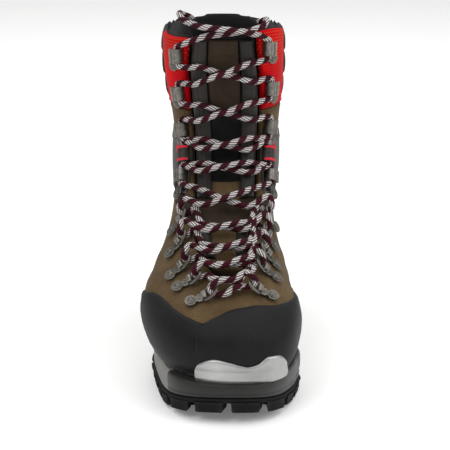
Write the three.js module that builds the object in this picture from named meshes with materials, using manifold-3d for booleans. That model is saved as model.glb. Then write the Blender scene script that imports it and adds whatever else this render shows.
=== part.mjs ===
// A right mountaineering boot: lugged sole unit with crampon ledges, leather upper with a rubber rand,
// flexing ankle, padded tongue, and a lace drawn on each side through five rings, a cleat, a strap loop
// and three open hooks.
// Millimetres, +Z up, toe towards -Y, +X to the inner (medial) side. The origin is the footprint's middle.
import * as THREE from "three";
import { mergeVertices } from "three/addons/utils/BufferGeometryUtils.js";
import Module from "manifold-3d";

const wasm = await Module();
wasm.setup();

// ---------------------------------------------------------------- driving dimensions
const footLength = 303; // upper, toe to heel
const featherHeight = 28; // where the upper meets the sole, at the toe
const ankleHeight = 120; // the flex line and its rivets
const cuffHeight = 236;
const shaftDepth = 146; // front to back at the ankle
const achillesDip = 21; // how far the shaft's back is ahead of the heel's
const lateralBall = 58; // half widths of the foot, outer side
const lateralHeel = 42;
const medialBall = 51; // half widths of the foot, inner side
const medialHeel = 39;
const toeShift = 13; // the toe tip leans this far to the inner side
const toeLeanLength = 95; // and is straight this far behind the tip
const ankleHalfWidth = 41;
const cuffHalfWidth = 46;
const ankleShift = 3; // the ankle lies to the inner side of the middle

const outsoleThickness = 10;
const lugDepth = 6.5;
const lugPitch = 19;
const lugGap = 6;
const toeSpring = 8.5;
const heelLift = 7; // how much higher the heel sits than the ball
const soleMargin = 3; // the sole's toe stands this far ahead of the upper's

const gap = 0.3; // between pieces that touch
const randThickness = 2;
const leatherThickness = 2.2;
const liningThickness = 4;
const overlayThickness = 1.2;
const boardThickness = 2.2;
const footbedThickness = 4;
const shankThickness = 1.5;

const forwardLean = 10; // degrees that the shaft flexes
const backwardLean = 3;
const flexAxisBack = 34; // the flex axis lies this far behind the shaft's front
const flexGap = 2.6; // gusset height at the axis

const laceDiameter = 4.4;
const wireDiameter = 2.2; // lace rings
const ringLength = 9; // from the ring's bar to its bow
const ringWidth = 11;
const ringRise = 3.8; // the bow stands this much higher than the bar
const barHeight = 3.1; // above the leather
const clipThickness = 1.1;
const clipPlay = 0.1; // between a clip and its ring's arms, each side
const rivetRadius = 3.8;
const rivetReach = 9.5; // from the ring's bar to the rivet
const hookWidth = 8;
const hookThickness = 1.2;
const threadPlay = 0.7; // between a lace and the wire it turns round

// ---------------------------------------------------------------- small helpers
const V = (x, y, z) => new THREE.Vector3(x, y, z);
const clamp = (x, low, high) => Math.min(high, Math.max(low, x));
const mix = (a, b, t) => a + (b - a) * t;
const ease = (t) => {
  const c = clamp(t, 0, 1);
  return c * c * (3 - 2 * c);
};
const steps = (count, from, to) =>
  Array.from({ length: count + 1 }, (_, i) => mix(from, to, i / count));

// A smooth curve through points [[x, y], ...] that never overshoots them.
function through(points) {
  const slopes = points
    .slice(1)
    .map(([x, y], i) => (y - points[i][1]) / (x - points[i][0]));
  const tangents = points.map((_, i) => {
    if (i === 0) return slopes[0];
    if (i === points.length - 1) return slopes[i - 1];
    const [a, b] = [slopes[i - 1], slopes[i]];
    return a * b <= 0 ? 0 : (2 * a * b) / (a + b);
  });
  return (x) => {
    const last = points.length - 1;
    const at = clamp(x, points[0][0], points[last][0]);
    let i = 0;
    while (i < last - 1 && at > points[i + 1][0]) i++;
    const width = points[i + 1][0] - points[i][0];
    const t = (at - points[i][0]) / width;
    const [t2, t3] = [t * t, t * t * t];
    return (
      (2 * t3 - 3 * t2 + 1) * points[i][1] +
      (t3 - 2 * t2 + t) * width * tangents[i] +
      (3 * t2 - 2 * t3) * points[i + 1][1] +
      (t3 - t2) * width * tangents[i + 1]
    );
  };
}

// ---------------------------------------------------------------- the last, which every upper piece follows
const toeFront = -footLength / 2 + 1.5;
const heelBack = footLength / 2 + 1.5;
const shaftBack = heelBack - achillesDip;
const shaftFront = shaftBack - shaftDepth;

// Level 0 is the feather line, 1 the ankle's flex line and 2 the cuff's top.
const heightAt = (level) =>
  level < 1
    ? mix(featherHeight, ankleHeight, level)
    : mix(ankleHeight, cuffHeight, level - 1);
const levelAt = (z) =>
  z < ankleHeight
    ? (z - featherHeight) / (ankleHeight - featherHeight)
    : 1 + (z - ankleHeight) / (cuffHeight - ankleHeight);

// How far the front has gone from the toe to the shaft at a level.
const instep = through([
  [0, 0.03], [0.13, 0], [0.29, 0.015], [0.435, 0.094], [0.565, 0.23], [0.73, 0.42],
  [0.89, 0.594], [1.04, 0.754], [1.17, 0.877], [1.34, 0.964], [1.6, 1], [1.9, 0.986], [2.3, 0.95],
]);
// How far the heel's back has come forward, as a share of achillesDip.
const achilles = through([
  [0, 0.38], [0.13, 0.14], [0.29, 0], [0.45, 0.08], [0.73, 0.43], [1.04, 0.86],
  [1.34, 1.05], [1.6, 1], [1.9, 0.76], [2.3, 0.4],
]);
const frontRound = through([
  [0, 60], [0.29, 66], [0.435, 74], [0.565, 86], [0.73, 92], [0.89, 88], [1.04, 76], [1.17, 64],
  [1.34, 56], [1.6, 52],
]);
const frontPower = through([[0, 2.5], [0.435, 2.4], [0.73, 2.2], [1.34, 2.2], [1.9, 2.4]]);
const shaftShare = through([
  [0.43, 0], [0.565, 0.1], [0.73, 0.25], [0.89, 0.5], [1.04, 0.78], [1.17, 0.95], [1.34, 1],
]);
const footSwell = through([[0, 0.86], [0.13, 0.97], [0.29, 1.02], [0.435, 1], [0.73, 0.9], [1.17, 0.8]]);
const lateralFoot = through([
  [0, lateralBall - 2], [0.1, lateralBall], [0.23, lateralBall], [0.35, lateralBall - 4],
  [0.5, lateralHeel + 4], [0.65, lateralHeel + 1], [0.8, lateralHeel], [1, lateralHeel],
]);
const medialFoot = through([
  [0, medialBall - 11], [0.1, medialBall - 6], [0.23, medialBall], [0.35, medialBall],
  [0.5, medialHeel + 5], [0.65, medialHeel], [0.8, medialHeel - 1], [1, medialHeel + 1],
]);
const shaftHalf = through([
  [0, ankleHalfWidth], [1.3, ankleHalfWidth], [1.6, mix(ankleHalfWidth, cuffHalfWidth, 0.6)],
  [1.9, cuffHalfWidth], [2.3, cuffHalfWidth + 1],
]);
const sideShift = through([[0, 0], [0.7, 0.6], [1.04, 1], [1.34, 1], [1.9, 0.3]]);
const backRound = 62;
const backPower = 2.3;

const rounding = (u, power) => Math.pow(1 - Math.pow(1 - clamp(u, 0, 1), power), 1 / power);

const wrap = (turn) => (turn > 1 ? turn - 2 : turn < -1 ? turn + 2 : turn);

// A point of the boot's outside. turn is 0 at the front, positive on the inner side, 1 or -1 at the back.
function onLast(level, anyTurn) {
  const turn = wrap(anyTurn);
  const front = mix(toeFront, shaftFront, instep(level));
  const back = heelBack - achillesDip * achilles(level);
  const y = mix(front, back, (1 - Math.cos(Math.PI * Math.abs(turn))) / 2);
  const frontSwell = rounding((y - front) / frontRound(level), frontPower(level));
  const round = frontSwell * rounding((back - y) / backRound, backPower);
  const along = (y - toeFront) / footLength;
  const share = shaftShare(level);
  const foot = footSwell(level) * (turn < 0 ? lateralFoot(along) : medialFoot(along));
  const half = mix(foot, shaftHalf(level), share);
  const toeLean = toeShift * (1 - ease((along * footLength) / toeLeanLength));
  const lean = toeLean * (1 - share) + ankleShift * sideShift(level) * share;
  return V(lean + Math.sign(turn) * half * round, y, heightAt(level));
}

function normalAt(level, turn) {
  const d = 0.004;
  const along = onLast(level, turn + d).sub(onLast(level, turn - d));
  const up = onLast(level + d, turn).sub(onLast(level - d, turn));
  return along.cross(up).normalize();
}

const offLast = (level, turn, offset) =>
  onLast(level, turn).addScaledVector(normalAt(level, turn), offset);

// The layers of the upper, as offsets from the outside.
const leatherOut = -randThickness - gap;
const leatherIn = leatherOut - leatherThickness;
const liningOut = leatherIn - gap;
const liningIn = liningOut - liningThickness;
const overlayIn = leatherOut + gap;
const overlayOut = overlayIn + overlayThickness;

// ---------------------------------------------------------------- solids from grids, sweeps and booleans
function meshOf(positions, faces) {
  let volume = 0;
  for (const [a, b, c] of faces)
    volume += positions[a].dot(positions[b].clone().cross(positions[c]));
  const geometry = new THREE.BufferGeometry();
  const numbers = positions.flatMap((p) => p.toArray());
  geometry.setAttribute("position", new THREE.Float32BufferAttribute(numbers, 3));
  geometry.setIndex(faces.flatMap(([a, b, c]) => (volume > 0 ? [a, b, c] : [a, c, b])));
  return geometry;
}

// A shell between two grids of points [row][column]. A closed one joins its last column to its first.
function shell(outer, inner, closed = false) {
  const rows = outer.length;
  const cols = outer[0].length;
  const positions = [...outer.flat(), ...inner.flat()];
  const at = (side, r, c) => side * rows * cols + r * cols + (c % cols);
  const faces = [];
  const quad = (a, b, c, d) => faces.push([a, b, c], [a, c, d]);
  const spans = closed ? cols : cols - 1;
  for (let r = 0; r < rows - 1; r++)
    for (let c = 0; c < spans; c++) {
      quad(at(0, r, c), at(0, r, c + 1), at(0, r + 1, c + 1), at(0, r + 1, c));
      quad(at(1, r, c), at(1, r + 1, c), at(1, r + 1, c + 1), at(1, r, c + 1));
    }
  for (let c = 0; c < spans; c++) {
    quad(at(0, 0, c), at(1, 0, c), at(1, 0, c + 1), at(0, 0, c + 1));
    quad(at(0, rows - 1, c), at(0, rows - 1, c + 1), at(1, rows - 1, c + 1), at(1, rows - 1, c));
  }
  if (!closed)
    for (let r = 0; r < rows - 1; r++) {
      quad(at(0, r, 0), at(0, r + 1, 0), at(1, r + 1, 0), at(1, r, 0));
      quad(at(0, r, cols - 1), at(1, r, cols - 1), at(1, r + 1, cols - 1), at(0, r + 1, cols - 1));
    }
  return meshOf(positions, faces);
}

const whole = (geometry) => {
  const bare = geometry.index ? geometry.toNonIndexed() : geometry.clone();
  bare.deleteAttribute("normal");
  bare.deleteAttribute("uv");
  const merged = mergeVertices(bare, 1e-4);
  return new wasm.Manifold(
    new wasm.Mesh({
      numProp: 3,
      vertProperties: merged.attributes.position.array,
      triVerts: new Uint32Array(merged.index.array),
    }),
  );
};

function fromSolid(solid) {
  const mesh = solid.getMesh();
  const geometry = new THREE.BufferGeometry();
  geometry.setAttribute("position", new THREE.BufferAttribute(mesh.vertProperties, 3));
  geometry.setIndex(new THREE.BufferAttribute(mesh.triVerts, 1));
  return geometry;
}

// Every layer of the upper has its corners on the same columns and rows, so layers stay parallel.
const sideTurns = [0.04, 0.08, 0.12, 0.16, 0.21, 0.28, 0.37, 0.48, 0.61, 0.75, 0.88, 0.96];
const columns = [0, ...sideTurns, 1, ...sideTurns.toReversed().map((t) => 2 - t)];
const footLevels = [-0.09, 0.1, 0.28, 0.46, 0.63, 0.8, 1.02];
const shaftLevels = [0.97, 1.15, 1.35, 1.55, 1.75, 1.95, 2.2];
// A closed ring between two offsets from the outside, which are numbers or functions of (turn, level).
function layer(levels, out, inside) {
  const side = (offset) =>
    levels.map((level) =>
      columns.map((t) => offLast(level, t, typeof offset === "number" ? offset : offset(wrap(t), level))),
    );
  return whole(shell(side(out), side(inside), true));
}
// What cuts a layer to an outline: it reaches well past every layer. at(t, v) gives a level and a turn.
const cutIn = -18;
const cutOut = 9;
function region(across, rows, at, closed = false) {
  const side = (offset) =>
    steps(rows, 0, 1).map((v) => across.map((t) => offLast(...at(t, v), offset)));
  return whole(shell(side(cutOut), side(cutIn), closed));
}
// Between two edges that change with the turn: all round, and between two turns.
const between = (low, high) => (t, v) => [mix(low(wrap(t)), high(wrap(t)), v), t];
const band = (low, high) => region(columns, 3, between(low, high), true);
function stretch(from, to, low, high, closeness = 0.02) {
  const inside = [...columns.map((t) => t - 2), ...columns].filter(
    (t) => t > from + closeness && t < to - closeness,
  );
  return region([from, ...inside, to], 3, between(low, high));
}

const shapeOf = (points) => new THREE.Shape(points.map(([x, y]) => new THREE.Vector2(x, y)));
const prism = (points, depth) =>
  new THREE.ExtrudeGeometry(shapeOf(points), { depth, bevelEnabled: false, steps: 1 });

// A path that keeps its own points, so that a sweep has a section at each of them.
class PointPath extends THREE.Curve {
  constructor(points) {
    super();
    this.points = points;
  }
  getPointAt(u) {
    const last = this.points.length - 1;
    const i = clamp(Math.floor(u * last), 0, last - 1);
    return this.points[i].clone().lerp(this.points[i + 1], u * last - i);
  }
  getTangentAt(u) {
    const d = 0.5 / (this.points.length - 1);
    return this.getPointAt(clamp(u + d, 0, 1)).sub(this.getPointAt(clamp(u - d, 0, 1))).normalize();
  }
  getSpacedPoints(divisions) {
    return steps(divisions, 0, 1).map((u) => this.getPointAt(u));
  }
}

const circle = (radius, sides) =>
  steps(sides, 0, 1)
    .slice(0, -1)
    .map((t) => [radius * Math.cos(2 * Math.PI * t), radius * Math.sin(2 * Math.PI * t)]);
const sweep = (section, points) =>
  new THREE.ExtrudeGeometry(shapeOf(section), {
    steps: points.length - 1,
    bevelEnabled: false,
    extrudePath: new PointPath(points),
  });

// ---------------------------------------------------------------- materials
const colours = {
  rubber: [0x1b1b1c, 0.85, 0],
  rand: [0x26262a, 0.7, 0],
  bumper: [0x3a3735, 0.75, 0],
  midsole: [0x77746e, 0.8, 0],
  moulded: [0x8f8f90, 0.35, 0],
  leather: [0x5d4b37, 0.9, 0],
  panel: [0x5b5752, 0.6, 0],
  red: [0xb8161c, 0.85, 0],
  collar: [0x2a292b, 0.9, 0],
  strip: [0x4a4643, 0.55, 0],
  lining: [0x1d1c1e, 0.95, 0],
  metal: [0x86827a, 0.4, 0.7],
  lace: [0x8a7a78, 0.85, 0],
  board: [0x9c8f78, 0.9, 0],
};
const group = new THREE.Group();
function add(name, look, geometry) {
  const [color, roughness, metalness] = colours[look];
  const mesh = new THREE.Mesh(geometry, new THREE.MeshStandardMaterial({ color, roughness, metalness }));
  mesh.name = name;
  group.add(mesh);
  return mesh;
}

// ---------------------------------------------------------------- sole unit
const soleFront = toeFront - soleMargin;
const soleBack = heelBack - 2;
const soleLength = soleBack - soleFront;
const lateralSole = through([
  [0, lateralBall - 5], [0.1, lateralBall - 8], [0.25, lateralBall - 9], [0.36, lateralBall - 8],
  [0.5, lateralHeel + 3], [0.65, lateralHeel - 2], [0.8, lateralHeel - 3], [1, lateralHeel - 4],
]);
const medialSole = through([
  [0, medialBall - 24], [0.1, medialBall - 15], [0.17, medialBall - 6], [0.24, medialBall + 1],
  [0.36, medialBall + 1], [0.5, medialHeel + 4], [0.65, medialHeel - 1], [1, medialHeel - 2],
]);
const soleToeRound = 50;
const soleHeelRound = 50;
function soleEdge(turn) {
  const y = mix(soleFront, soleBack, (1 - Math.cos(Math.PI * Math.abs(turn))) / 2);
  const along = (y - soleFront) / soleLength;
  const toeSwell = rounding((y - soleFront) / soleToeRound, 2.5);
  const round = toeSwell * rounding((soleBack - y) / soleHeelRound, backPower);
  const half = turn < 0 ? lateralSole(along) : medialSole(along);
  return [toeShift * (1 - ease((y - toeFront) / 95)) + Math.sign(turn) * half * round, y];
}
const soleOutline = (inset, count = 44) => {
  const edge = steps(count, -1, 1).slice(0, -1).map(soleEdge);
  return edge.map(([x, y], i) => {
    const [before, after] = [edge[(i + count - 1) % count], edge[(i + 1) % count]];
    const [dx, dy] = [after[0] - before[0], after[1] - before[1]];
    const length = Math.hypot(dx, dy);
    return [x - (dy / length) * inset, y + (dx / length) * inset];
  });
};
const tall = 90;
const outlinePrism = (inset) => whole(prism(soleOutline(inset), tall).translate(0, 0, -tall / 3));

const rockerLength = 62;
const liftFrom = 8; // the stretch over which the heel lift rises
const liftTo = 98;
const soleStations = [
  soleFront - 6,
  ...steps(6, soleFront, soleFront + rockerLength),
  ...steps(6, liftFrom, liftTo),
  soleBack + 6,
];
const rockerAt = (y) => toeSpring * clamp((soleFront + rockerLength - y) / rockerLength, 0, 1) ** 2;
const featherAt = (y) => featherHeight + heelLift * ease((y - liftFrom) / (liftTo - liftFrom));
// A slab between two heights that change along the foot.
function slab(low, high) {
  const side = [
    ...soleStations.map((y) => [y, low(y)]),
    ...soleStations.toReversed().map((y) => [y, high(y)]),
  ];
  const halfWidth = 90;
  // The profile's own x runs along the foot and its y upwards; it is extruded across the foot.
  const across = new THREE.Matrix4()
    .makeBasis(V(0, 1, 0), V(0, 0, 1), V(1, 0, 0))
    .setPosition(-halfWidth, 0, 0);
  return whole(prism(side, 2 * halfWidth).applyMatrix4(across));
}
const box = (x0, x1, y0, y1, z0, z1) =>
  whole(
    new THREE.BoxGeometry(x1 - x0, y1 - y0, z1 - z0).translate((x0 + x1) / 2, (y0 + y1) / 2, (z0 + z1) / 2),
  );

const outsoleTop = (y) => rockerAt(y) + outsoleThickness;
const lugRoot = (y) => rockerAt(y) + lugDepth;
const climbingZone = 24; // length of the smooth edge under the toe
const heelBreast = mix(soleFront, soleBack, 0.63);
const archLength = 17;
const lugCentreWidth = 22;
const lugLow = -5; // cutters run from here to there, past the tread on both sides
const lugHigh = outsoleThickness * 2;

function lugRow(y, length) {
  const middle = toeShift * (1 - ease((y - toeFront) / toeLeanLength));
  const side = (lugCentreWidth + lugGap) / 2 + 1;
  return [
    box(-tall, middle - side, y, y + length, lugLow, lugHigh),
    box(middle + side, tall, y, y + length, lugLow, lugHigh),
    box(middle - lugCentreWidth / 2, middle + lugCentreWidth / 2, y + lugGap, y + length, lugLow, lugHigh),
  ];
}

function outsole() {
  const plan = outlinePrism(0);
  const base = plan.intersect(slab(lugRoot, outsoleTop));
  const lugs = [box(-tall, tall, soleFront - lugGap, soleFront + climbingZone, lugLow, lugHigh)];
  const lugLength = lugPitch - lugGap;
  for (let y = soleFront + climbingZone + lugGap; y + lugLength < soleBack; y += lugPitch)
    if (y + lugPitch < heelBreast || y > heelBreast + archLength) lugs.push(...lugRow(y, lugLength));
  const tread = lugs.reduce((all, lug) => all.add(lug));
  return fromSolid(base.add(tread.intersect(plan).intersect(slab(rockerAt, (y) => lugRoot(y) + 1))));
}
add("outsole", "rubber", outsole());

const bumperDepth = 9;
const bumperLateral = 29; // how far the bumper runs back from the toe on either side
const bumperMedial = 78;
const bumperDivide = 6; // x where the two sides meet
const midsoleLow = (y) => outsoleTop(y) + gap;
const midsoleHigh = (y) => featherAt(y) - gap;
const bumperZone = (room) => {
  const side = (x0, x1, length) =>
    box(x0, x1, soleFront - tall, soleFront + length - room, -tall, tall);
  return side(-tall, bumperDivide, bumperLateral).add(side(bumperDivide - 1, tall, bumperMedial));
};
const bumperRing = (inset, room) =>
  outlinePrism(-1 + inset)
    .subtract(outlinePrism(bumperDepth + (inset ? 0 : gap)))
    .intersect(bumperZone(room));
const midsoleSlab = slab(midsoleLow, midsoleHigh);
add("toe_bumper", "bumper", fromSolid(bumperRing(1, gap).intersect(midsoleSlab)));

const shankHalfWidth = 11;
const shankFront = mix(soleFront, soleBack, 0.3);
const shankBack = mix(soleFront, soleBack, 0.78);
const shankSpace = (room) =>
  box(-shankHalfWidth - room, shankHalfWidth + room, shankFront - room, shankBack + room, 0, tall);
const shankTop = (y) => midsoleHigh(y) - gap / 3;
const shankLow = (y) => shankTop(y) - shankThickness;
add("shank", "metal", fromSolid(shankSpace(0).intersect(slab(shankLow, shankTop))));
add(
  "midsole",
  "midsole",
  fromSolid(
    outlinePrism(0.6)
      .intersect(midsoleSlab)
      .subtract(bumperRing(0, 0))
      .subtract(shankSpace(gap).intersect(slab((y) => shankLow(y) - gap, () => tall))),
  ),
);

// What lies inside the upper: its outline is the last's, taken in by the layers around it.
const innerOutline = (level, inset) =>
  columns.map((turn) => {
    const p = offLast(level, turn, inset);
    return [p.x, p.y];
  });
const innerPrism = (level, inset) => whole(prism(innerOutline(level, inset), tall));
const boardLow = (y) => featherAt(y) + gap;
const boardHigh = (y) => boardLow(y) + boardThickness;
const footbedLow = (y) => boardHigh(y) + gap;
const footbedHigh = (y) => footbedLow(y) + footbedThickness;
const boardInset = leatherIn - 2 * gap - 1.2;
const footbedInset = liningIn - gap - 3.5;
const boardSlab = slab(boardLow, boardHigh);
const footbedSlab = slab(footbedLow, footbedHigh);
add("lasting_board", "board", fromSolid(innerPrism(0.03, boardInset).intersect(boardSlab)));
add("footbed", "collar", fromSolid(innerPrism(0.1, footbedInset).intersect(footbedSlab)));

// ---------------------------------------------------------------- flex line between foot and shaft
const flexAxisY = shaftFront + flexAxisBack;
const lean = (degrees) => Math.sin(THREE.MathUtils.degToRad(degrees));
function flexHalfGap(turn) {
  const y = onLast(1, turn).y;
  const ahead = Math.max(0, flexAxisY - y) * lean(forwardLean + 0.6);
  const behind = Math.max(0, y - flexAxisY) * lean(backwardLean + 0.6);
  return (flexGap + ahead + behind) / 2;
}
const footTop = (turn) => levelAt(ankleHeight - flexHalfGap(turn));
const shaftLow = (turn) => levelAt(ankleHeight + flexHalfGap(turn));

// ---------------------------------------------------------------- upper, foot part
// The throat is the tongue's opening: its edge's turn at a level, and the level where a turn meets it.
const throatTurn = through([
  [0.655, 0], [0.67, 0.035], [0.7, 0.062], [0.78, 0.105], [0.9, 0.135], [1, 0.16], [1.3, 0.17],
  [1.7, 0.155],
  [2, 0.125], [2.4, 0.12],
]);
const throatBottom = 0.655;
const throat = (clear, low, high) =>
  region(steps(4, -1, 1), 16, (u, v) => {
    const level = mix(low, high, v ** 1.6);
    return [level, (throatTurn(level) - clear) * u];
  });
const throatCut = throat(0, throatBottom, 2.35);

const aboveSole = (extra) => slab((y) => featherAt(y) + gap + extra, () => 4 * tall);
const beforeFlex = band(() => -0.3, footTop);
const behindFlex = band(shaftLow, () => 2.35);

const footLayer = (out, inside, extra) => layer(footLevels, out, inside).intersect(aboveSole(extra));
const vamp = footLayer(leatherOut, leatherIn, 0).intersect(beforeFlex).subtract(throatCut);
add("vamp_leather", "leather", fromSolid(vamp));
add(
  "lining_foot",
  "lining",
  fromSolid(
    footLayer(liningOut, liningIn, boardThickness + gap).intersect(beforeFlex).subtract(throatCut),
  ),
);

const randSeam = -0.075;
const lateralRandTop = through([
  [0.07, 0.405], [0.135, 0.44], [0.23, 0.495], [0.33, 0.42], [0.5, 0.3], [0.75, 0.31], [1, 0.4],
]);
const medialRandTop = through([
  [-0.075, 0.4], [-0.045, 0.455], [0, 0.505], [0.05, 0.515], [0.13, 0.495], [0.2, 0.475],
  [0.3, 0.44], [0.5, 0.3], [0.75, 0.31], [1, 0.4],
]);
const seamGap = 0.0025; // in turns, about 0.3 mm at the toe
const rand = (from, to, top) =>
  footLayer(0, -randThickness, 0).intersect(stretch(from, to, () => -0.3, top, 0.008));
const randLateral = rand(-1 + seamGap, randSeam - seamGap, (turn) => lateralRandTop(-turn));
add("rand_lateral", "rand", fromSolid(randLateral));
add("rand_medial", "rand", fromSolid(rand(randSeam, 1 - seamGap, medialRandTop)));

// Crampon ledges: moulded inserts over the rand with a groove above a lip.
const insertThickness = 1.5;
const insertLevels = [-0.09, 0.02, 0.06, 0.1, 0.17, 0.3, 0.42];
function crampon(from, to, top, lip, lipTop) {
  const out = (turn, level) => insertThickness + lip * (1 - ease((level - lipTop) / 0.07));
  return layer(insertLevels, out, -randThickness)
    .intersect(aboveSole(0))
    .intersect(region(steps(16, from, to), 3, between(() => -0.3, top)))
    .subtract(layer(footLevels, gap, leatherIn));
}
const toeLobes = through([
  [-0.1, 0.07], [-0.085, 0.13], [-0.045, 0.175], [-0.015, 0.155], [0.01, 0.125], [0.035, 0.14],
  [0.07, 0.19], [0.105, 0.185], [0.14, 0.12], [0.155, 0.06],
]);
add("toe_crampon_insert", "moulded", fromSolid(crampon(-0.1, 0.155, toeLobes, 2, 0.03)));
const heelLobe = (turn) => 0.3 + 0.05 * Math.cos((1 - Math.abs(turn)) * 20);
add("heel_crampon_insert", "moulded", fromSolid(crampon(0.87, 1.13, heelLobe, 1.5, 0.12)));

// ---------------------------------------------------------------- upper, shaft part
const quarterTop = 1.545;
const cuffTop = (turn) =>
  2 + 0.05 * Math.exp(-Math.pow((turn - 0.2) / 0.2, 2)) - 0.02 * ease((Math.abs(turn) - 0.5) / 0.3);
const levelGap = gap / (cuffHeight - ankleHeight);
const shaftLayer = (out, inside) =>
  layer(shaftLevels, out, inside).intersect(behindFlex).subtract(throatCut);
add(
  "shaft_leather",
  "leather",
  fromSolid(shaftLayer(leatherOut, leatherIn).intersect(band(() => 0.9, () => quarterTop))),
);
const panelTop = 1.345;
const panelEdge = 0.215; // where the overlay starts, in turns
const panelLow = (turn) => shaftLow(turn) + 0.03;
const panelRegion = (grow) =>
  stretch(panelEdge - grow, 2 - panelEdge + grow, (t) => panelLow(t) - grow, () => panelTop + grow);
add(
  "ankle_panel",
  "panel",
  fromSolid(layer(shaftLevels, overlayOut, overlayIn).intersect(panelRegion(0))),
);
const cuffBackTurn = 0.4;
const cuffOut = leatherOut + 0.6;
const cuffRange = (from, to) => stretch(from, to, () => quarterTop + levelGap, cuffTop);
const cuffLayer = shaftLayer(cuffOut, leatherIn);
add("cuff_panel_medial", "red", fromSolid(cuffLayer.intersect(cuffRange(0.05, cuffBackTurn - 0.001))));
add("cuff_panel_lateral", "red", fromSolid(cuffLayer.intersect(cuffRange(2 - cuffBackTurn + 0.001, 1.95))));
const collarSwell = 2.2;
const collarOut = (turn, level) =>
  cuffOut + collarSwell * Math.sin(Math.PI * clamp((level - quarterTop) / 0.5, 0, 1));
add(
  "collar_rear",
  "collar",
  fromSolid(
    shaftLayer(collarOut, leatherIn).intersect(
      stretch(
        cuffBackTurn + 0.001,
        2 - cuffBackTurn - 0.001,
        () => quarterTop + levelGap,
        (t) => cuffTop(t) + 0.015,
      ),
    ),
  ),
);
const collarPad = 5;
const liningPad = (turn, level) =>
  liningIn - collarPad * ease((level - 1.6) / 0.15) * ease((2.06 - level) / 0.1);
add(
  "lining_shaft",
  "lining",
  fromSolid(shaftLayer(liningOut, liningPad).intersect(band(() => 0.9, (t) => cuffTop(t) + 0.01))),
);

const gussetLevels = [0.88, 1, 1.12];
// The gusset closes the flex line all round, across the tongue too.
const footLevelGap = gap / (ankleHeight - featherHeight);
add(
  "flex_gusset",
  "panel",
  fromSolid(
    layer(gussetLevels, leatherOut, liningIn).intersect(
      band((t) => footTop(t) + footLevelGap, (t) => shaftLow(t) - levelGap),
    ),
  ),
);

// ---------------------------------------------------------------- tongue
const tongueClear = 0.012; // in turns, between the tongue and the throat's edge
const tongueTop = (turn) => 2.165 - 0.075 * Math.pow(Math.abs(turn) / 0.12, 3);
const tongueFootLow = 0.71;
const tongueIn = liningIn + 1;
const tongueCut = throat(tongueClear, throatBottom, 2.35);
add(
  "tongue_foot",
  "leather",
  fromSolid(
    layer(footLevels, leatherOut, tongueIn)
      .intersect(tongueCut)
      .intersect(band(() => tongueFootLow, footTop)),
  ),
);
add(
  "tongue_shaft",
  "collar",
  fromSolid(
    layer(shaftLevels, leatherOut, tongueIn)
      .intersect(tongueCut)
      .intersect(stretch(-0.2, 0.2, shaftLow, tongueTop)),
  ),
);
const stripIn = 0.4; // shares of the tongue's half width
const stripOut = 0.84;
const stripTop = overlayIn + 1;
function strip(side, levels, low, high) {
  const shares = side < 0 ? [stripOut, stripIn] : [stripIn, stripOut];
  const cut = region(shares, 6, (share, v) => {
    const level = mix(low, high, v);
    return [level, side * (throatTurn(level) - tongueClear) * share];
  });
  return fromSolid(layer(levels, stripTop, overlayIn).intersect(cut));
}
for (const [side, word] of [[-1, "lateral"], [1, "medial"]]) {
  add(`tongue_strip_foot_${word}`, "strip", strip(side, footLevels, tongueFootLow + 0.04, footTop(0.12)));
  add(`tongue_strip_shaft_${word}`, "strip", strip(side, shaftLevels, shaftLow(0.02), 1.99));
}
const patchLow = 1.56; // levels
const patchHigh = 1.95;
const patchHalf = 0.042;
add(
  "tongue_patch",
  "leather",
  fromSolid(
    layer(shaftLevels, overlayOut, overlayIn).intersect(
      stretch(-patchHalf, patchHalf, () => patchLow, () => patchHigh),
    ),
  ),
);

// ---------------------------------------------------------------- pull loop at the back
const webThickness = 1.6;
const webWidth = 16;
const webBow = 10; // how far the web stands out for a finger
const webLow = 1.5; // levels of its sewn ends
const webHigh = 1.975;
// The outline of a ribbon of a given thickness along a flat path.
function ribbon(path, thickness) {
  const side = (sign) =>
    path.map(([x, y], i) => {
      const [before, after] = [path[Math.max(i - 1, 0)], path[Math.min(i + 1, path.length - 1)]];
      const [dx, dy] = [after[0] - before[0], after[1] - before[1]];
      const half = (sign * thickness) / 2 / Math.hypot(dx, dy);
      return [x - dy * half, y + dx * half];
    });
  return [...side(1), ...side(-1).toReversed()];
}
{
  const clear = gap + webThickness / 2;
  const path = steps(14, 0, 1).map((share) => {
    const bow = webBow * ease((share - 0.1) / 0.35) * ease((0.9 - share) / 0.35);
    const level = mix(webLow, webHigh, share);
    const p = offLast(level, 1, collarOut(1, level) + clear + bow);
    return [p.y, p.z];
  });
  const web = prism(ribbon(path, webThickness), webWidth);
  const middle = offLast(webLow, 1, 0).x;
  // The path's y runs along the foot and its z upwards; the width is across the foot.
  web.applyMatrix4(new THREE.Matrix4().makeBasis(V(0, 1, 0), V(0, 0, 1), V(1, 0, 0)));
  const collarBed = layer(shaftLevels, (t, l) => collarOut(t, l) + gap, -2 * collarPad + leatherIn);
  const room = collarBed.intersect(band(() => quarterTop - 0.1, (t) => cuffTop(t) + 0.02));
  add("pull_loop", "collar", fromSolid(whole(web.translate(middle - webWidth / 2, 0, 0)).subtract(room)));
}

// ---------------------------------------------------------------- lace hardware
// Everything that hardware sits on, grown by the gap, is cut from it, so each piece beds on its own spot.
const deep = liningIn;
const bedding = layer(footLevels, leatherOut + gap, deep)
  .intersect(beforeFlex)
  .add(layer(shaftLevels, leatherOut + gap, deep).intersect(band(() => 0.99, () => quarterTop)))
  .add(layer(shaftLevels, cuffOut + gap, deep).intersect(band(() => quarterTop, () => 2.3)))
  .add(layer(shaftLevels, overlayOut + gap, deep).intersect(panelRegion(0.006)));
// The gusset is given more room, because the foot's hardware and the shaft's move against it.
const gussetBed = layer(gussetLevels, leatherOut + 3 * gap, deep).intersect(
  band((t) => footTop(t), (t) => shaftLow(t)),
);
const bed = bedding.add(gussetBed);
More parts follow.
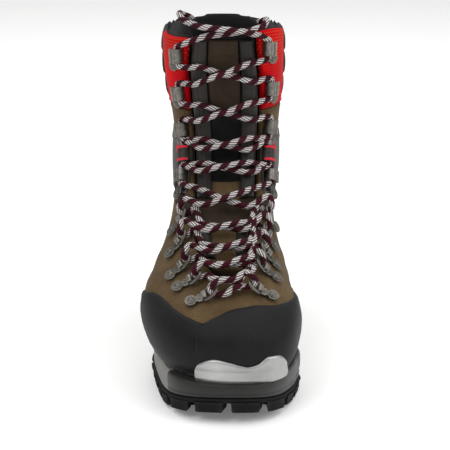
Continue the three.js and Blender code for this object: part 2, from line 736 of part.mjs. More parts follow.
// The foot's skin as the shaft meets it when it leans forward, so that the cleats pass over it.
const footBed = layer(footLevels, leatherOut + gap, deep).intersect(beforeFlex);
const leanBed = [0.5, 1]
  .map((share) =>
    footBed
      .translate([0, -flexAxisY, -ankleHeight])
      .rotate([-forwardLean * share, 0, 0])
      .translate([0, flexAxisY, ankleHeight]),
  )
  .reduce((all, solid) => all.add(solid));

// A local frame on the boot: t points to the throat, n outwards and e across both.
function frameAt(level, turn, offset, aim) {
  const n = normalAt(level, turn);
  const at = offLast(level, turn, offset);
  const t = aim.clone().addScaledVector(n, -aim.dot(n)).normalize();
  const e = n.clone().cross(t);
  const point = (a, b, c) =>
    at.clone().addScaledVector(t, a).addScaledVector(e, b).addScaledVector(n, c);
  return { at, t, n, e, point };
}
const placed = (frame, geometry) =>
  geometry.applyMatrix4(new THREE.Matrix4().makeBasis(frame.t, frame.e, frame.n).setPosition(frame.at));
// Cutting may leave crumbs on the far side of a fold, so only the largest body is kept.
const bedded = (frame, solid, cutter = bed) =>
  fromSolid(
    whole(placed(frame, fromSolid(solid)))
      .subtract(cutter)
      .decompose()
      .reduce((a, b) => (a.volume() > b.volume() ? a : b)),
  );

const rivetDeep = 6; // a rivet's shank before it is cut off on the boot
const rivet = (top) => {
  const shank = rivetRadius * 0.7;
  const profile = [[0, -rivetDeep], [shank, -rivetDeep], [shank, top - 1.2], [rivetRadius, top - 1], [0, top]];
  return new THREE.LatheGeometry(profile.map(([r, z]) => new THREE.Vector2(r, z)), 8).rotateX(Math.PI / 2);
};
// A flat teardrop: a round end about the rivet and a straight end of a given half width.
const teardrop = (length, halfEnd) => [
  [length, -halfEnd],
  [length, halfEnd],
  ...steps(5, 0.42 * Math.PI, 1.58 * Math.PI).map((a) => [
    (rivetRadius + 0.7) * Math.cos(a),
    (rivetRadius + 0.7) * Math.sin(a),
  ]),
];
// Turns a profile drawn in t and n, extruded along e, into place: its width is centred.
const acrossStrip = (profile, width) =>
  prism(profile, width).applyMatrix4(
    new THREE.Matrix4().makeBasis(V(1, 0, 0), V(0, 0, 1), V(0, -1, 0)).setPosition(0, width / 2, 0),
  );

const wire = wireDiameter / 2;
const eyeInner = (wire + gap) * 1.05;
const eyeOuter = eyeInner + clipThickness;
const bowHeight = barHeight + ringRise;
const clipWidth = ringWidth - 2 * wireDiameter - 2 * clipPlay;
const rivetHead = 1.4; // height above its plate

// A strip riveted at one end and rolled round the ring's bar at the other.
function clip(frame) {
  const roll = (radius, from, to) =>
    steps(6, from, to).map((a) => [radius * Math.cos(a), barHeight + radius * Math.sin(a)]);
  const [from, to] = [-0.86 * Math.PI, 0.78 * Math.PI];
  const low = barHeight - eyeOuter * Math.sin(0.14 * Math.PI) - clipThickness / 2;
  const tail = [-rivetReach + 1, low];
  const profile = [
    tail,
    ...roll(eyeOuter, from, to),
    ...roll(eyeInner, from, to).toReversed(),
    [-eyeOuter, low + clipThickness],
    [tail[0], low + clipThickness],
  ];
  const plate = prism(teardrop(5, clipWidth / 2), clipThickness).translate(-rivetReach, 0, low);
  const head = rivet(low + clipThickness + rivetHead).translate(-rivetReach, 0, 0);
  return bedded(frame, whole(acrossStrip(profile, clipWidth)).add(whole(plate)).add(whole(head)));
}

// The ring is a D: a straight bar through the clip's eye, two arms and a round bow.
function laceRing(frame) {
  const half = ringWidth / 2 - wire;
  const shares = [[0, 1], [0.1, 1.02], [0.5, 1], [0.84, 0.72], [1, 0.28]];
  const arm = shares.map(([a, b]) => [a * ringLength, b * half]);
  const outline = [...arm.toReversed().map(([t, e]) => [t, -e]), ...arm];
  const middle = outline.map(([t, e]) => V(t, e, barHeight + (ringRise * t) / ringLength));
  const sides = 6;
  const count = middle.length;
  const tilt = V(-ringRise, 0, ringLength).normalize();
  const positions = middle.flatMap((p, i) => {
    const along = middle[(i + 1) % count].clone().sub(middle[(i + count - 1) % count]).normalize();
    const out = along.clone().cross(tilt).normalize();
    return circle(wire, sides).map(([a, b]) => p.clone().addScaledVector(out, a).addScaledVector(tilt, b));
  });
  const faces = [];
  for (let i = 0; i < count; i++)
    for (let k = 0; k < sides; k++) {
      const [a, b] = [i * sides + k, i * sides + ((k + 1) % sides)];
      const next = ((i + 1) % count) * sides;
      const [c, d] = [next + k, next + ((k + 1) % sides)];
      faces.push([a, c, b], [b, c, d]);
    }
  return placed(frame, meshOf(positions, faces));
}

// An open hook: a folded strip on a plate, with its rivet back from it and below it.
const hookRivet = [7.5, 8.5];
const cleatRivet = [9, 9.5];
const hookArm = 3; // half width of the plate where it meets the strip
const cleatArm = 3.4;
const hookBase = 0.5;
const hookRoom = laceDiameter + 1;
function hook(frame, rivetAt, arm, cutter) {
  const floor = hookBase + hookThickness;
  const roof = floor + hookRoom;
  const middle = (floor + roof) / 2;
  const reach = roof - middle;
  const bend = (radius) =>
    steps(4, -Math.PI / 2, Math.PI / 2).map((a) => [
      1.4 + radius * 0.55 * Math.cos(a),
      middle + radius * Math.sin(a),
    ]);
  const profile = [
    [-4.8, hookBase],
    ...bend(reach + hookThickness),
    [-4.2, roof + hookThickness],
    [-4.6, roof],
    ...bend(reach).toReversed(),
    [-4.8, floor],
  ];
  const [ra, rb] = rivetAt;
  const plate = prism(teardrop(Math.hypot(ra + 2, rb), arm), hookThickness)
    .rotateZ(Math.atan2(-rb, -2 - ra))
    .translate(ra, rb, hookBase);
  const head = rivet(floor + rivetHead).translate(ra, rb, 0);
  return bedded(frame, whole(acrossStrip(profile, hookWidth)).add(whole(plate)).add(whole(head)), cutter);
}

// A webbing loop: it arches over the lace, and its tabs lie on the boot.
const loopHalf = 6;
function strapLoop(frame) {
  const arch = laceDiameter / 2 + 1.6;
  const thickness = 1.3;
  const tab = 5;
  const height = laceDiameter + 1.5;
  const bow = (grow) =>
    steps(6, 0, Math.PI).map((a) => [
      -(arch + grow) * Math.cos(a),
      hookBase + (height + grow) * Math.sin(a) ** 0.7,
    ]);
  const foot = arch + thickness + tab;
  const profile = [
    [-foot, hookBase - 1],
    [-foot, hookBase + 1],
    [-arch - thickness, hookBase + 1],
    ...bow(thickness).slice(1, -1),
    [arch + thickness, hookBase + 1],
    [foot - 3, hookBase + 1],
    [foot - 3, hookBase - 1],
    ...bow(0).toReversed(),
  ];
  return bedded(frame, whole(acrossStrip(profile, loopHalf * 2)));
}

// Lace rings, lowest first: level and turn of the ring's middle, then of its rivet.
const rings = {
  lateral: [
    [0.565, -0.05, 0.515, -0.115], [0.635, -0.102, 0.58, -0.155], [0.7, -0.142, 0.635, -0.185],
    [0.82, -0.17, 0.75, -0.21], [0.935, -0.195, 0.865, -0.24],
  ],
  medial: [
    [0.595, 0.062, 0.545, 0.125], [0.69, 0.125, 0.62, 0.18], [0.755, 0.17, 0.68, 0.215],
    [0.85, 0.195, 0.775, 0.24], [0.945, 0.215, 0.88, 0.26],
  ],
};
// Strap loops and cleats at the ankle, then open hooks, lowest first: level and turn.
const loops = { lateral: [1.27, -0.2], medial: [1.27, 0.2] };
const cleats = { lateral: [1.14, -0.21], medial: [1.14, 0.215] };
const hooks = {
  lateral: [[1.425, -0.2], [1.66, -0.185], [1.9, -0.165]],
  medial: [[1.44, 0.2], [1.69, 0.185], [1.945, 0.16]],
};

const stations = { lateral: [], medial: [] };
const sideOf = { lateral: -1, medial: 1 };
for (const side of ["lateral", "medial"]) {
  rings[side].forEach(([level, turn, rivetLevel, rivetTurn], i) => {
    const aim = onLast(level, turn).sub(onLast(rivetLevel, rivetTurn));
    const middle = [mix(rivetLevel, level, 0.6), mix(rivetTurn, turn, 0.6)];
    const frame = frameAt(...middle, leatherOut, aim);
    add(`ring_clip_${side}_${i + 1}`, "metal", clip(frame));
    add(`lace_ring_${side}_${i + 1}`, "metal", laceRing(frame));
    stations[side].push({ kind: "ring", frame, level, turn });
  });
  // A frame whose t points to the throat, level with the ground.
  const level = ([at, turn], offset) => {
    const up = offLast(at + 0.05, turn, 0).sub(offLast(at - 0.05, turn, 0));
    const inward = up.cross(normalAt(at, turn)).multiplyScalar(-sideOf[side]);
    return { frame: frameAt(at, turn, offset, inward), level: at, turn };
  };
  const cleat = { kind: "hook", ...level(cleats[side], overlayOut) };
  const loop = { kind: "loop", ...level(loops[side], overlayOut) };
  const open = hooks[side].map((at) => ({ kind: "hook", ...level(at, cuffOut) }));
  const upward = Math.sign(cleat.frame.e.z);
  const [cleatBack, cleatDown] = cleatRivet;
  const [hookBack, hookDown] = hookRivet;
  const cleatAt = [-cleatBack, -cleatDown * upward];
  add(`ankle_cleat_${side}`, "metal", hook(cleat.frame, cleatAt, cleatArm, bed.add(leanBed)));
  open.forEach(({ frame }, i) =>
    add(`lace_hook_${side}_${i + 1}`, "metal", hook(frame, [-hookBack, -hookDown * upward], hookArm)),
  );
  add(`strap_loop_${side}`, "collar", strapLoop(loop.frame));
  stations[side].push(cleat, loop, ...open);
}

// ---------------------------------------------------------------- lace
const laceRadius = laceDiameter / 2;
const turnRadius = wire + laceRadius + threadPlay;
const laneHeight = hookBase + hookThickness + laceRadius + gap; // of the lace's middle in a hook

// The lace's points at a station, from the strand that arrives from below to the one that leaves upwards.
function atStation({ kind, frame }) {
  const upward = frame.e.z > 0 ? 1 : -1;
  if (kind === "ring") {
    const over = [175, 110, 60, 5].map((degrees) => {
      const a = THREE.MathUtils.degToRad(degrees);
      const drift = mix(1.3, -1.3, degrees / 180) * upward;
      return frame.point(ringLength - turnRadius * Math.sin(a), drift, bowHeight + turnRadius * Math.cos(a));
    });
    const arriving = frame.point(ringLength + 6, -3.6 * upward, bowHeight - turnRadius + 0.4);
    const leaving = frame.point(ringLength + 5, 3.4 * upward, bowHeight + turnRadius - 0.6);
    return [arriving, ...over, leaving];
  }
  if (kind === "loop") {
    const route = [[4, -9.4, 1.4], [0.5, -6.3, 0.3], [0, 0, 0], [0.5, 6.3, 0.3], [4, 9.4, 1.4]];
    return route.map(([t, e, rise]) => frame.point(t, e * upward, hookBase + laceRadius + gap + rise));
  }
  const out = hookWidth / 2 + laceRadius + 0.9;
  const before = [[4.4, -out - 1.4], [0.2, -out + 1], [-0.9, -2.4]];
  const route = [...before, [-0.9, 2.4], [0.2, out - 1.2], [3.4, out + 0.4]];
  return route.map(([t, e]) => frame.point(t, e * upward, laneHeight));
}

// A crossing from one side to the other, over the tongue: heights above the leather at shares of the way.
function crossing(from, to, above) {
  const high = [[0.28, 10.1], [0.43, 11.2], [0.57, 11], [0.7, 8.6]];
  const low = [[0.28, 7.4], [0.43, 6.4], [0.57, 6.2], [0.72, 5.7]];
  return (above ? high : low).map(([share, height]) => {
    const level = mix(from.level, to.level, share);
    const turn = mix(from.turn, to.turn, share);
    return offLast(level, turn, leatherOut + height);
  });
}

// One half of the lace, from the lowest ring of one side up to its tucked end.
function laceHalf(first, above) {
  const other = first === "lateral" ? "medial" : "lateral";
  const points = [];
  stations.lateral.forEach((_, i) => {
    const here = stations[i % 2 ? other : first][i];
    const next = stations[i % 2 ? first : other][i + 1];
    points.push(...atStation(here));
    if (next) points.push(...crossing(here, next, above === (i % 2 === 0)));
  });
  return points;
}

// The end goes over the tongue's front, in beside it and down inside the shaft to the footbed.
function laceTail(side, above) {
  const s = sideOf[side];
  const far = -s;
  const [level] = hooks[side][2];
  const top = above ? 2.07 : 2.03;
  const lift = above ? 9.2 : 4.1;
  const route = [
    [level + 0.085, s * 0.12, 5.5], [top, s * 0.05, lift], [top + 0.02, far * 0.01, lift],
    [top + 0.03, far * 0.06, lift - 0.4], [top + 0.055, far * 0.125, 4.6], [top + 0.085, far * 0.165, 0.5],
    [top + 0.065, far * 0.19, -7], [top + 0.01, far * 0.2, -17], [1.92, far * 0.2, -21],
    [1.75, far * 0.2, -21], [1.55, far * 0.2, -18], [1.35, far * 0.21, -15], [1.15, far * 0.22, -13.5],
    [0.95, far * 0.25, -14], [0.75, far * 0.3, -15], [0.5, far * 0.38, -16],
  ];
  const down = route.map(([l, t, h]) => offLast(l, t, leatherOut + h));
  const end = down[down.length - 1];
  const rest = featherAt(end.y) + gap * 3 + boardThickness + footbedThickness + laceRadius + 0.4;
  const along = [[0, 4], [-14, 0.5], [-34, 0], [-54, 0], [-74, 0]].map(([y, z]) => {
    const at = end.y - 8 + y;
    return V(end.x * mix(1, 0.72, -y / 74) - far * 3, at, rest - featherAt(end.y) + featherAt(at) + z);
  });
  return [...down, ...along];
}

const halves = ["medial", "lateral"].map((side, i) => [
  ...laceHalf(side, i === 1),
  ...laceTail(side === "medial" ? "lateral" : "medial", i === 1),
]);
// The bottom bar between the two lowest rings.
const bar = crossing(stations.lateral[0], stations.medial[0], false).slice(1, 3);
const lacePoints = [...halves[1].toReversed(), ...bar, ...halves[0]];
add("lace", "lace", sweep(circle(laceRadius, 8), lacePoints));

// ---------------------------------------------------------------- origin under the middle of the boot
const extent = new THREE.Box3().setFromObject(group);
const centre = extent.getCenter(V(0, 0, 0));
group.children.forEach((mesh) => mesh.position.set(-centre.x, -centre.y, -extent.min.z));

export default group;
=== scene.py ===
import math

import bmesh
import bpy
import numpy as np
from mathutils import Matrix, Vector


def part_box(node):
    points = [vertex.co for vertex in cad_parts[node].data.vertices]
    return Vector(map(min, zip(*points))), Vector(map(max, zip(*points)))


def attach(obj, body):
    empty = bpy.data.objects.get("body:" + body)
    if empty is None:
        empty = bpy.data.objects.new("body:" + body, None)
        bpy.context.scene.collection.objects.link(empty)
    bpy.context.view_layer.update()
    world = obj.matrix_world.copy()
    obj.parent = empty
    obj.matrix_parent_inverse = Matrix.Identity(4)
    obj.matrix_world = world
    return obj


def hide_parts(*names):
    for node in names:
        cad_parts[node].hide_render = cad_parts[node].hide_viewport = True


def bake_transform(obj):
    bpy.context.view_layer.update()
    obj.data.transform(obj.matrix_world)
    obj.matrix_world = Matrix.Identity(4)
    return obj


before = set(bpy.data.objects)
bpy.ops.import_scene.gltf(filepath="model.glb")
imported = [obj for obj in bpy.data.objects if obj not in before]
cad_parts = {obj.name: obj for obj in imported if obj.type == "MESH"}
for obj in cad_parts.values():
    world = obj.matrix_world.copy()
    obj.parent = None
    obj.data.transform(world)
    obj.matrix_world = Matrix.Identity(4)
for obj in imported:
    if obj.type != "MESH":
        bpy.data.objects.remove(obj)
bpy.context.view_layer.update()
print("frame loaded")

mm = 0.001

# the last: the one surface that every piece of the upper follows (millimetres)
last = {
    "length": 303,
    "featherHeight": 28,  # where the upper meets the sole
    "ankleHeight": 120,  # the flex line
    "cuffHeight": 236,
    "shaftDepth": 146,
    "achillesDip": 21,
    "lateralBall": 58,
    "lateralHeel": 42,
    "medialBall": 51,
    "medialHeel": 39,
    "toeShift": 13,
    "ankleHalfWidth": 41,
    "cuffHalfWidth": 46,
    "ankleShift": 3,
    "soleMargin": 3,
    "heelLift": 7,
    "flexAxisBack": 34,
    "flexGap": 2.6,
}
gap = 0.3
layers = {"rand": 2.0, "leather": 2.2, "lining": 4.0, "overlay": 1.2}


def through(points):
    xs = np.array([p[0] for p in points], float)
    ys = np.array([p[1] for p in points], float)
    slopes = np.diff(ys) / np.diff(xs)
    tangents = np.empty_like(ys)
    tangents[0], tangents[-1] = slopes[0], slopes[-1]
    a, b = slopes[:-1], slopes[1:]
    same = a * b > 0
    tangents[1:-1] = np.where(same, 2 * a * b / np.where(same, a + b, 1), 0)

    def at(x):
        x = np.clip(np.asarray(x, float), xs[0], xs[-1])
        i = np.clip(np.searchsorted(xs, x, side="right") - 1, 0, len(xs) - 2)
        width = xs[i + 1] - xs[i]
        t = (x - xs[i]) / width
        t2, t3 = t * t, t * t * t
        return ((2 * t3 - 3 * t2 + 1) * ys[i] + (t3 - 2 * t2 + t) * width * tangents[i]
                + (3 * t2 - 2 * t3) * ys[i + 1] + (t3 - t2) * width * tangents[i + 1])

    return at


def mix(a, b, t):
    return a + (b - a) * t


def ease(t):
    c = np.clip(t, 0, 1)
    return c * c * (3 - 2 * c)


# The frame's origin is the middle of the footprint, the last's is its own middle.
shankLow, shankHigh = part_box("shank")
soleLow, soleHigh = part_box("outsole")
toeFront = -last["length"] / 2 + 1.5
heelBack = last["length"] / 2 + 1.5
soleFront = toeFront - last["soleMargin"]
soleBack = heelBack - 2
originX = (shankLow[0] + shankHigh[0]) / 2 / mm
originY = soleLow[1] / mm - soleFront
shaftBack = heelBack - last["achillesDip"]
shaftFront = shaftBack - last["shaftDepth"]
flexAxisY = shaftFront + last["flexAxisBack"]


def heightAt(level):
    low = mix(last["featherHeight"], last["ankleHeight"], level)
    return np.where(level < 1, low, mix(last["ankleHeight"], last["cuffHeight"], level - 1))


def levelAt(z):
    low = (z - last["featherHeight"]) / (last["ankleHeight"] - last["featherHeight"])
    return np.where(low < 1, low, 1 + (z - last["ankleHeight"]) / (last["cuffHeight"] - last["ankleHeight"]))


instep = through([(0, 0.03), (0.13, 0), (0.29, 0.015), (0.435, 0.094), (0.565, 0.23), (0.73, 0.42),
                  (0.89, 0.594), (1.04, 0.754), (1.17, 0.877), (1.34, 0.964), (1.6, 1), (1.9, 0.986), (2.3, 0.95)])
achilles = through([(0, 0.38), (0.13, 0.14), (0.29, 0), (0.45, 0.08), (0.73, 0.43), (1.04, 0.86),
                    (1.34, 1.05), (1.6, 1), (1.9, 0.76), (2.3, 0.4)])
frontRound = through([(0, 60), (0.29, 66), (0.435, 74), (0.565, 86), (0.73, 92), (0.89, 88),
                      (1.04, 76), (1.17, 64), (1.34, 56), (1.6, 52)])
frontPower = through([(0, 2.5), (0.435, 2.4), (0.73, 2.2), (1.34, 2.2), (1.9, 2.4)])
shaftShare = through([(0.43, 0), (0.565, 0.1), (0.73, 0.25), (0.89, 0.5), (1.04, 0.78), (1.17, 0.95), (1.34, 1)])
footSwell = through([(0, 0.86), (0.13, 0.97), (0.29, 1.02), (0.435, 1), (0.73, 0.9), (1.17, 0.8)])
lateralFoot = through([(0, last["lateralBall"] - 2), (0.1, last["lateralBall"]), (0.23, last["lateralBall"]),
                       (0.35, last["lateralBall"] - 4), (0.5, last["lateralHeel"] + 4),
                       (0.65, last["lateralHeel"] + 1), (0.8, last["lateralHeel"]), (1, last["lateralHeel"])])
medialFoot = through([(0, last["medialBall"] - 11), (0.1, last["medialBall"] - 6), (0.23, last["medialBall"]),
                      (0.35, last["medialBall"]), (0.5, last["medialHeel"] + 5), (0.65, last["medialHeel"]),
                      (0.8, last["medialHeel"] - 1), (1, last["medialHeel"] + 1)])
shaftHalf = through([(0, last["ankleHalfWidth"]), (1.3, last["ankleHalfWidth"]),
                     (1.6, mix(last["ankleHalfWidth"], last["cuffHalfWidth"], 0.6)),
                     (1.9, last["cuffHalfWidth"]), (2.3, last["cuffHalfWidth"] + 1)])
sideShift = through([(0, 0), (0.7, 0.6), (1.04, 1), (1.34, 1), (1.9, 0.3)])


def rounding(u, power):
    return (1 - (1 - np.clip(u, 0, 1)) ** power) ** (1 / power)


def wrapTurn(turn):
    return np.where(turn > 1, turn - 2, np.where(turn < -1, turn + 2, turn))


def onLast(level, turn):
    level, turn = np.broadcast_arrays(np.asarray(level, float), wrapTurn(np.asarray(turn, float)))
    front = mix(toeFront, shaftFront, instep(level))
    back = heelBack - last["achillesDip"] * achilles(level)
    y = mix(front, back, (1 - np.cos(np.pi * np.abs(turn))) / 2)
    swell = rounding((y - front) / frontRound(level), frontPower(level)) * rounding((back - y) / 62, 2.3)
    along = (y - toeFront) / last["length"]
    share = shaftShare(level)
    foot = footSwell(level) * np.where(turn < 0, lateralFoot(along), medialFoot(along))
    half = mix(foot, shaftHalf(level), share)
    lean = last["toeShift"] * (1 - ease(along * last["length"] / 95)) * (1 - share)
    x = lean + last["ankleShift"] * sideShift(level) * share + np.sign(turn) * half * swell
    return np.stack([x + originX, y + originY, heightAt(level)], axis=-1)


def unit(v):
    return v / np.maximum(np.linalg.norm(v, axis=-1, keepdims=True), 1e-12)


def normalAt(level, turn):
    d = 0.004
    level, turn = np.broadcast_arrays(np.asarray(level, float), np.asarray(turn, float))
    along = onLast(level, turn + d) - onLast(level, turn - d)
    up = onLast(level + d, turn) - onLast(level - d, turn)
    return unit(np.cross(along, up))


def offLast(level, turn, offset):
    return onLast(level, turn) + normalAt(level, turn) * np.asarray(offset, float)[..., None]


leatherOut = -layers["rand"] - gap
leatherIn = leatherOut - layers["leather"]
liningOut = leatherIn - gap
liningIn = liningOut - layers["lining"]
overlayIn = leatherOut + gap
overlayOut = overlayIn + layers["overlay"]


def featherAt(y):
    return last["featherHeight"] + last["heelLift"] * ease((y - originY - 8) / 90)


def flexHalfGap(turn):
    y = onLast(np.ones_like(turn), turn)[..., 1] - originY
    ahead = np.maximum(0, flexAxisY - y) * math.sin(math.radians(10.6))
    behind = np.maximum(0, y - flexAxisY) * math.sin(math.radians(3.6))
    return (last["flexGap"] + ahead + behind) / 2


def footTop(turn):
    return levelAt(last["ankleHeight"] - flexHalfGap(turn))


def shaftLow(turn):
    return levelAt(last["ankleHeight"] + flexHalfGap(turn))


throatTurn = through([(0.655, 0), (0.67, 0.035), (0.7, 0.062), (0.78, 0.105), (0.9, 0.135), (1, 0.16),
                      (1.3, 0.17), (1.7, 0.155), (2, 0.125), (2.4, 0.12)])
throatLow = through([(0, 0.655), (0.035, 0.67), (0.062, 0.7), (0.105, 0.78), (0.135, 0.9), (0.16, 1), (0.17, 1.3)])

# shader node groups and materials


def socketOf(tree, name, kind, side, value=None):
    s = tree.interface.new_socket(name=name, in_out=side, socket_type=kind)
    if value is not None:
        s.default_value = value
    return s


class Nodes:

    def __init__(self, tree):
        self.tree = tree

    def add(self, kind, inputs=None, **props):
        node = self.tree.nodes.new(kind)
        for key, value in props.items():
            setattr(node, key, value)
        for key, value in (inputs or {}).items():
            target = node.inputs[key]
            if isinstance(value, bpy.types.NodeSocket):
                self.tree.links.new(value, target)
            else:
                target.default_value = value
        return node

    def math(self, kind, a, b=0.0, c=None):
        inputs = {0: a, 1: b}
        if c is not None:
            inputs[2] = c
        return self.add("ShaderNodeMath", inputs, operation=kind).outputs[0]

    def blend(self, factor, a, b, kind="MIX"):
        node = self.add("ShaderNodeMix", data_type="RGBA", blend_type=kind)
        for index, value in ((0, factor), (6, a), (7, b)):
            if isinstance(value, bpy.types.NodeSocket):
                self.tree.links.new(value, node.inputs[index])
            else:
                node.inputs[index].default_value = value
        return node.outputs[2]

    def ramp(self, value, low, high):
        node = self.add("ShaderNodeMapRange", {"Value": value, "From Min": low, "From Max": high}, clamp=True)
        return node.outputs["Result"]


def shaderGroup(name, inputs, outputs, build):
    tree = bpy.data.node_groups.new(name, "ShaderNodeTree")
    for label, kind, value in inputs:
        socketOf(tree, label, kind, "INPUT", value)
    for label, kind in outputs:
        socketOf(tree, label, kind, "OUTPUT")
    nodes = Nodes(tree)
    entry = tree.nodes.new("NodeGroupInput")
    end = tree.nodes.new("NodeGroupOutput")
    for label, socket in build(nodes, entry.outputs).items():
        tree.links.new(socket, end.inputs[label])
    return tree


def buildMottle(nodes, given):
    # cloudy wear and dust over a base colour, and a fine grain for the bump
    place = nodes.add("ShaderNodeTexCoord").outputs["Object"]
    cloud = nodes.add("ShaderNodeTexNoise", {"Vector": place, "Scale": given["Cloud Scale"], "Detail": 6.0,
                                             "Roughness": 0.6})
    fine = nodes.add("ShaderNodeTexNoise", {"Vector": place, "Scale": given["Grain Scale"], "Detail": 4.0,
                                            "Roughness": 0.65})
    share = nodes.ramp(cloud.outputs["Fac"], 0.34, 0.68)
    speck = nodes.ramp(fine.outputs["Fac"], 0.3, 0.7)
    colour = nodes.blend(share, given["Dark"], given["Light"])
    tone = nodes.math("MULTIPLY", nodes.math("SUBTRACT", speck, 0.5), given["Speck"])
    bright = nodes.math("ADD", tone, 1.0)
    colour = nodes.add("ShaderNodeVectorMath", {0: colour, 1: bright}, operation="MULTIPLY").outputs[0]
    return {"Color": colour, "Cloud": share, "Grain": fine.outputs["Fac"]}


mottle = shaderGroup(
    "mottle",
    [("Dark", "NodeSocketColor", (0.1, 0.1, 0.1, 1)), ("Light", "NodeSocketColor", (0.2, 0.2, 0.2, 1)),
     ("Cloud Scale", "NodeSocketFloat", 30.0), ("Grain Scale", "NodeSocketFloat", 900.0),
     ("Speck", "NodeSocketFloat", 0.2)],
    [("Color", "NodeSocketColor"), ("Cloud", "NodeSocketFloat"), ("Grain", "NodeSocketFloat")],
    buildMottle)


def buildWeave(nodes, given):
    # over and under threads along the piece's own map
    grid = nodes.add("ShaderNodeUVMap", uv_map="cloth").outputs["UV"]
    parts = nodes.add("ShaderNodeSeparateXYZ", {0: grid})
    u = nodes.math("MULTIPLY", parts.outputs[0], given["Threads"])
    v = nodes.math("MULTIPLY", parts.outputs[1], given["Threads"])
    warp = nodes.math("ABSOLUTE", nodes.math("SINE", u))
    weft = nodes.math("ABSOLUTE", nodes.math("SINE", v))
    side = nodes.math("SINE", nodes.math("MULTIPLY", nodes.math("ADD", u, v), 0.5))
    pick = nodes.ramp(side, -0.2, 0.2)
    flip = nodes.math("SUBTRACT", 1.0, pick)
    height = nodes.math("ADD", nodes.math("MULTIPLY", warp, pick), nodes.math("MULTIPLY", weft, flip))
    return {"Height": height}


weave = shaderGroup("weave", [("Threads", "NodeSocketFloat", 3.0)], [("Height", "NodeSocketFloat")], buildWeave)


def buildWear(nodes, given):
    # brighter stretches where the piece's edges stand out
    edge = nodes.add("ShaderNodeAttribute", attribute_name="edge").outputs["Fac"]
    place = nodes.add("ShaderNodeTexCoord").outputs["Object"]
    noise = nodes.add("ShaderNodeTexNoise", {"Vector": place, "Scale": 420.0, "Detail": 5.0}).outputs["Fac"]
    broken = nodes.math("MULTIPLY", edge, nodes.ramp(noise, 0.3, 0.62))
    mask = nodes.math("MULTIPLY", broken, given["Amount"])
    return {"Color": nodes.blend(mask, given["Color"], given["Worn"]), "Mask": mask}


wear = shaderGroup(
    "edgeWear",
    [("Color", "NodeSocketColor", (0.5, 0.5, 0.5, 1)), ("Worn", "NodeSocketColor", (0.7, 0.7, 0.7, 1)),
     ("Amount", "NodeSocketFloat", 0.6)],
    [("Color", "NodeSocketColor"), ("Mask", "NodeSocketFloat")],
    buildWear)


def finish(name, dark, light, rough=(0.7, 0.85), metal=0.0, cloud=25.0, grain=900.0, speck=0.2, bump=0.3,
           bumpDepth=0.0003, worn=None, wornAmount=0.5, threads=0.0, sheen=0.0, gloss=0.08, extra=None):
    material = bpy.data.materials.new(name)
    material.use_nodes = True
    tree = material.node_tree
    tree.nodes.clear()
    nodes = Nodes(tree)
    shader = nodes.add("ShaderNodeBsdfPrincipled", {"Metallic": metal, "Sheen Weight": sheen,
                                                 "Specular IOR Level": gloss})
    out = nodes.add("ShaderNodeOutputMaterial", {"Surface": shader.outputs[0]})
    body = nodes.add("ShaderNodeGroup", node_tree=mottle)
    body.inputs["Dark"].default_value = (*dark, 1)
    body.inputs["Light"].default_value = (*light, 1)
    body.inputs["Cloud Scale"].default_value = cloud
    body.inputs["Grain Scale"].default_value = grain
    body.inputs["Speck"].default_value = speck
    colour = body.outputs["Color"]
    height = body.outputs["Grain"]
    if threads:
        cloth = nodes.add("ShaderNodeGroup", node_tree=weave)
        cloth.inputs["Threads"].default_value = threads
        height = nodes.math("ADD", nodes.math("MULTIPLY", height, 0.4), cloth.outputs["Height"])
        # painted shade: the cloth's colour is darkened where the weave's threads dip between each other
        weavePaintedShade = nodes.math("ADD", nodes.math("MULTIPLY", cloth.outputs["Height"], 0.35), 0.72)
        colour = nodes.add("ShaderNodeVectorMath", {0: colour, 1: weavePaintedShade}, operation="MULTIPLY").outputs[0]
    if worn:
        rubbed = nodes.add("ShaderNodeGroup", node_tree=wear)
        rubbed.inputs["Worn"].default_value = (*worn, 1)
        rubbed.inputs["Amount"].default_value = wornAmount
        tree.links.new(colour, rubbed.inputs["Color"])
        colour = rubbed.outputs["Color"]
    if extra:
        colour, height = extra(nodes, colour, height)
    tree.links.new(colour, shader.inputs["Base Color"])
    roughness = nodes.math("ADD", nodes.math("MULTIPLY", body.outputs["Cloud"], rough[1] - rough[0]), rough[0])
    tree.links.new(roughness, shader.inputs["Roughness"])
    relief = nodes.add("ShaderNodeBump", {"Height": height, "Strength": bump, "Distance": bumpDepth})
    tree.links.new(relief.outputs[0], shader.inputs["Normal"])
    out.location = (400, 0)
    return material


def perforated(nodes, colour, height):
    # rows of small holes that thin out down the panel
    grid = nodes.add("ShaderNodeUVMap", uv_map="cloth").outputs["UV"]
    parts = nodes.add("ShaderNodeSeparateXYZ", {0: grid})
    pitch = 2.3
    u = nodes.math("DIVIDE", parts.outputs[0], pitch)
    v = nodes.math("DIVIDE", parts.outputs[1], pitch)
    shift = nodes.math("MULTIPLY", nodes.math("FLOOR", v), 0.5)
    du = nodes.math("SUBTRACT", nodes.math("FRACT", nodes.math("ADD", u, shift)), 0.5)
    dv = nodes.math("SUBTRACT", nodes.math("FRACT", v), 0.5)
    far = nodes.math("SQRT", nodes.math("ADD", nodes.math("MULTIPLY", du, du), nodes.math("MULTIPLY", dv, dv)))
    dot = nodes.math("SUBTRACT", 1.0, nodes.ramp(far, 0.16, 0.24))
    fade = nodes.ramp(parts.outputs[1], 26.0, 44.0)
    mask = nodes.math("MULTIPLY", dot, fade)
    tinted = nodes.blend(nodes.math("MULTIPLY", mask, 0.75), colour, (0.42, 0.12, 0.025, 1))
    sunk = nodes.math("SUBTRACT", height, nodes.math("MULTIPLY", mask, 1.5))
    return tinted, sunk


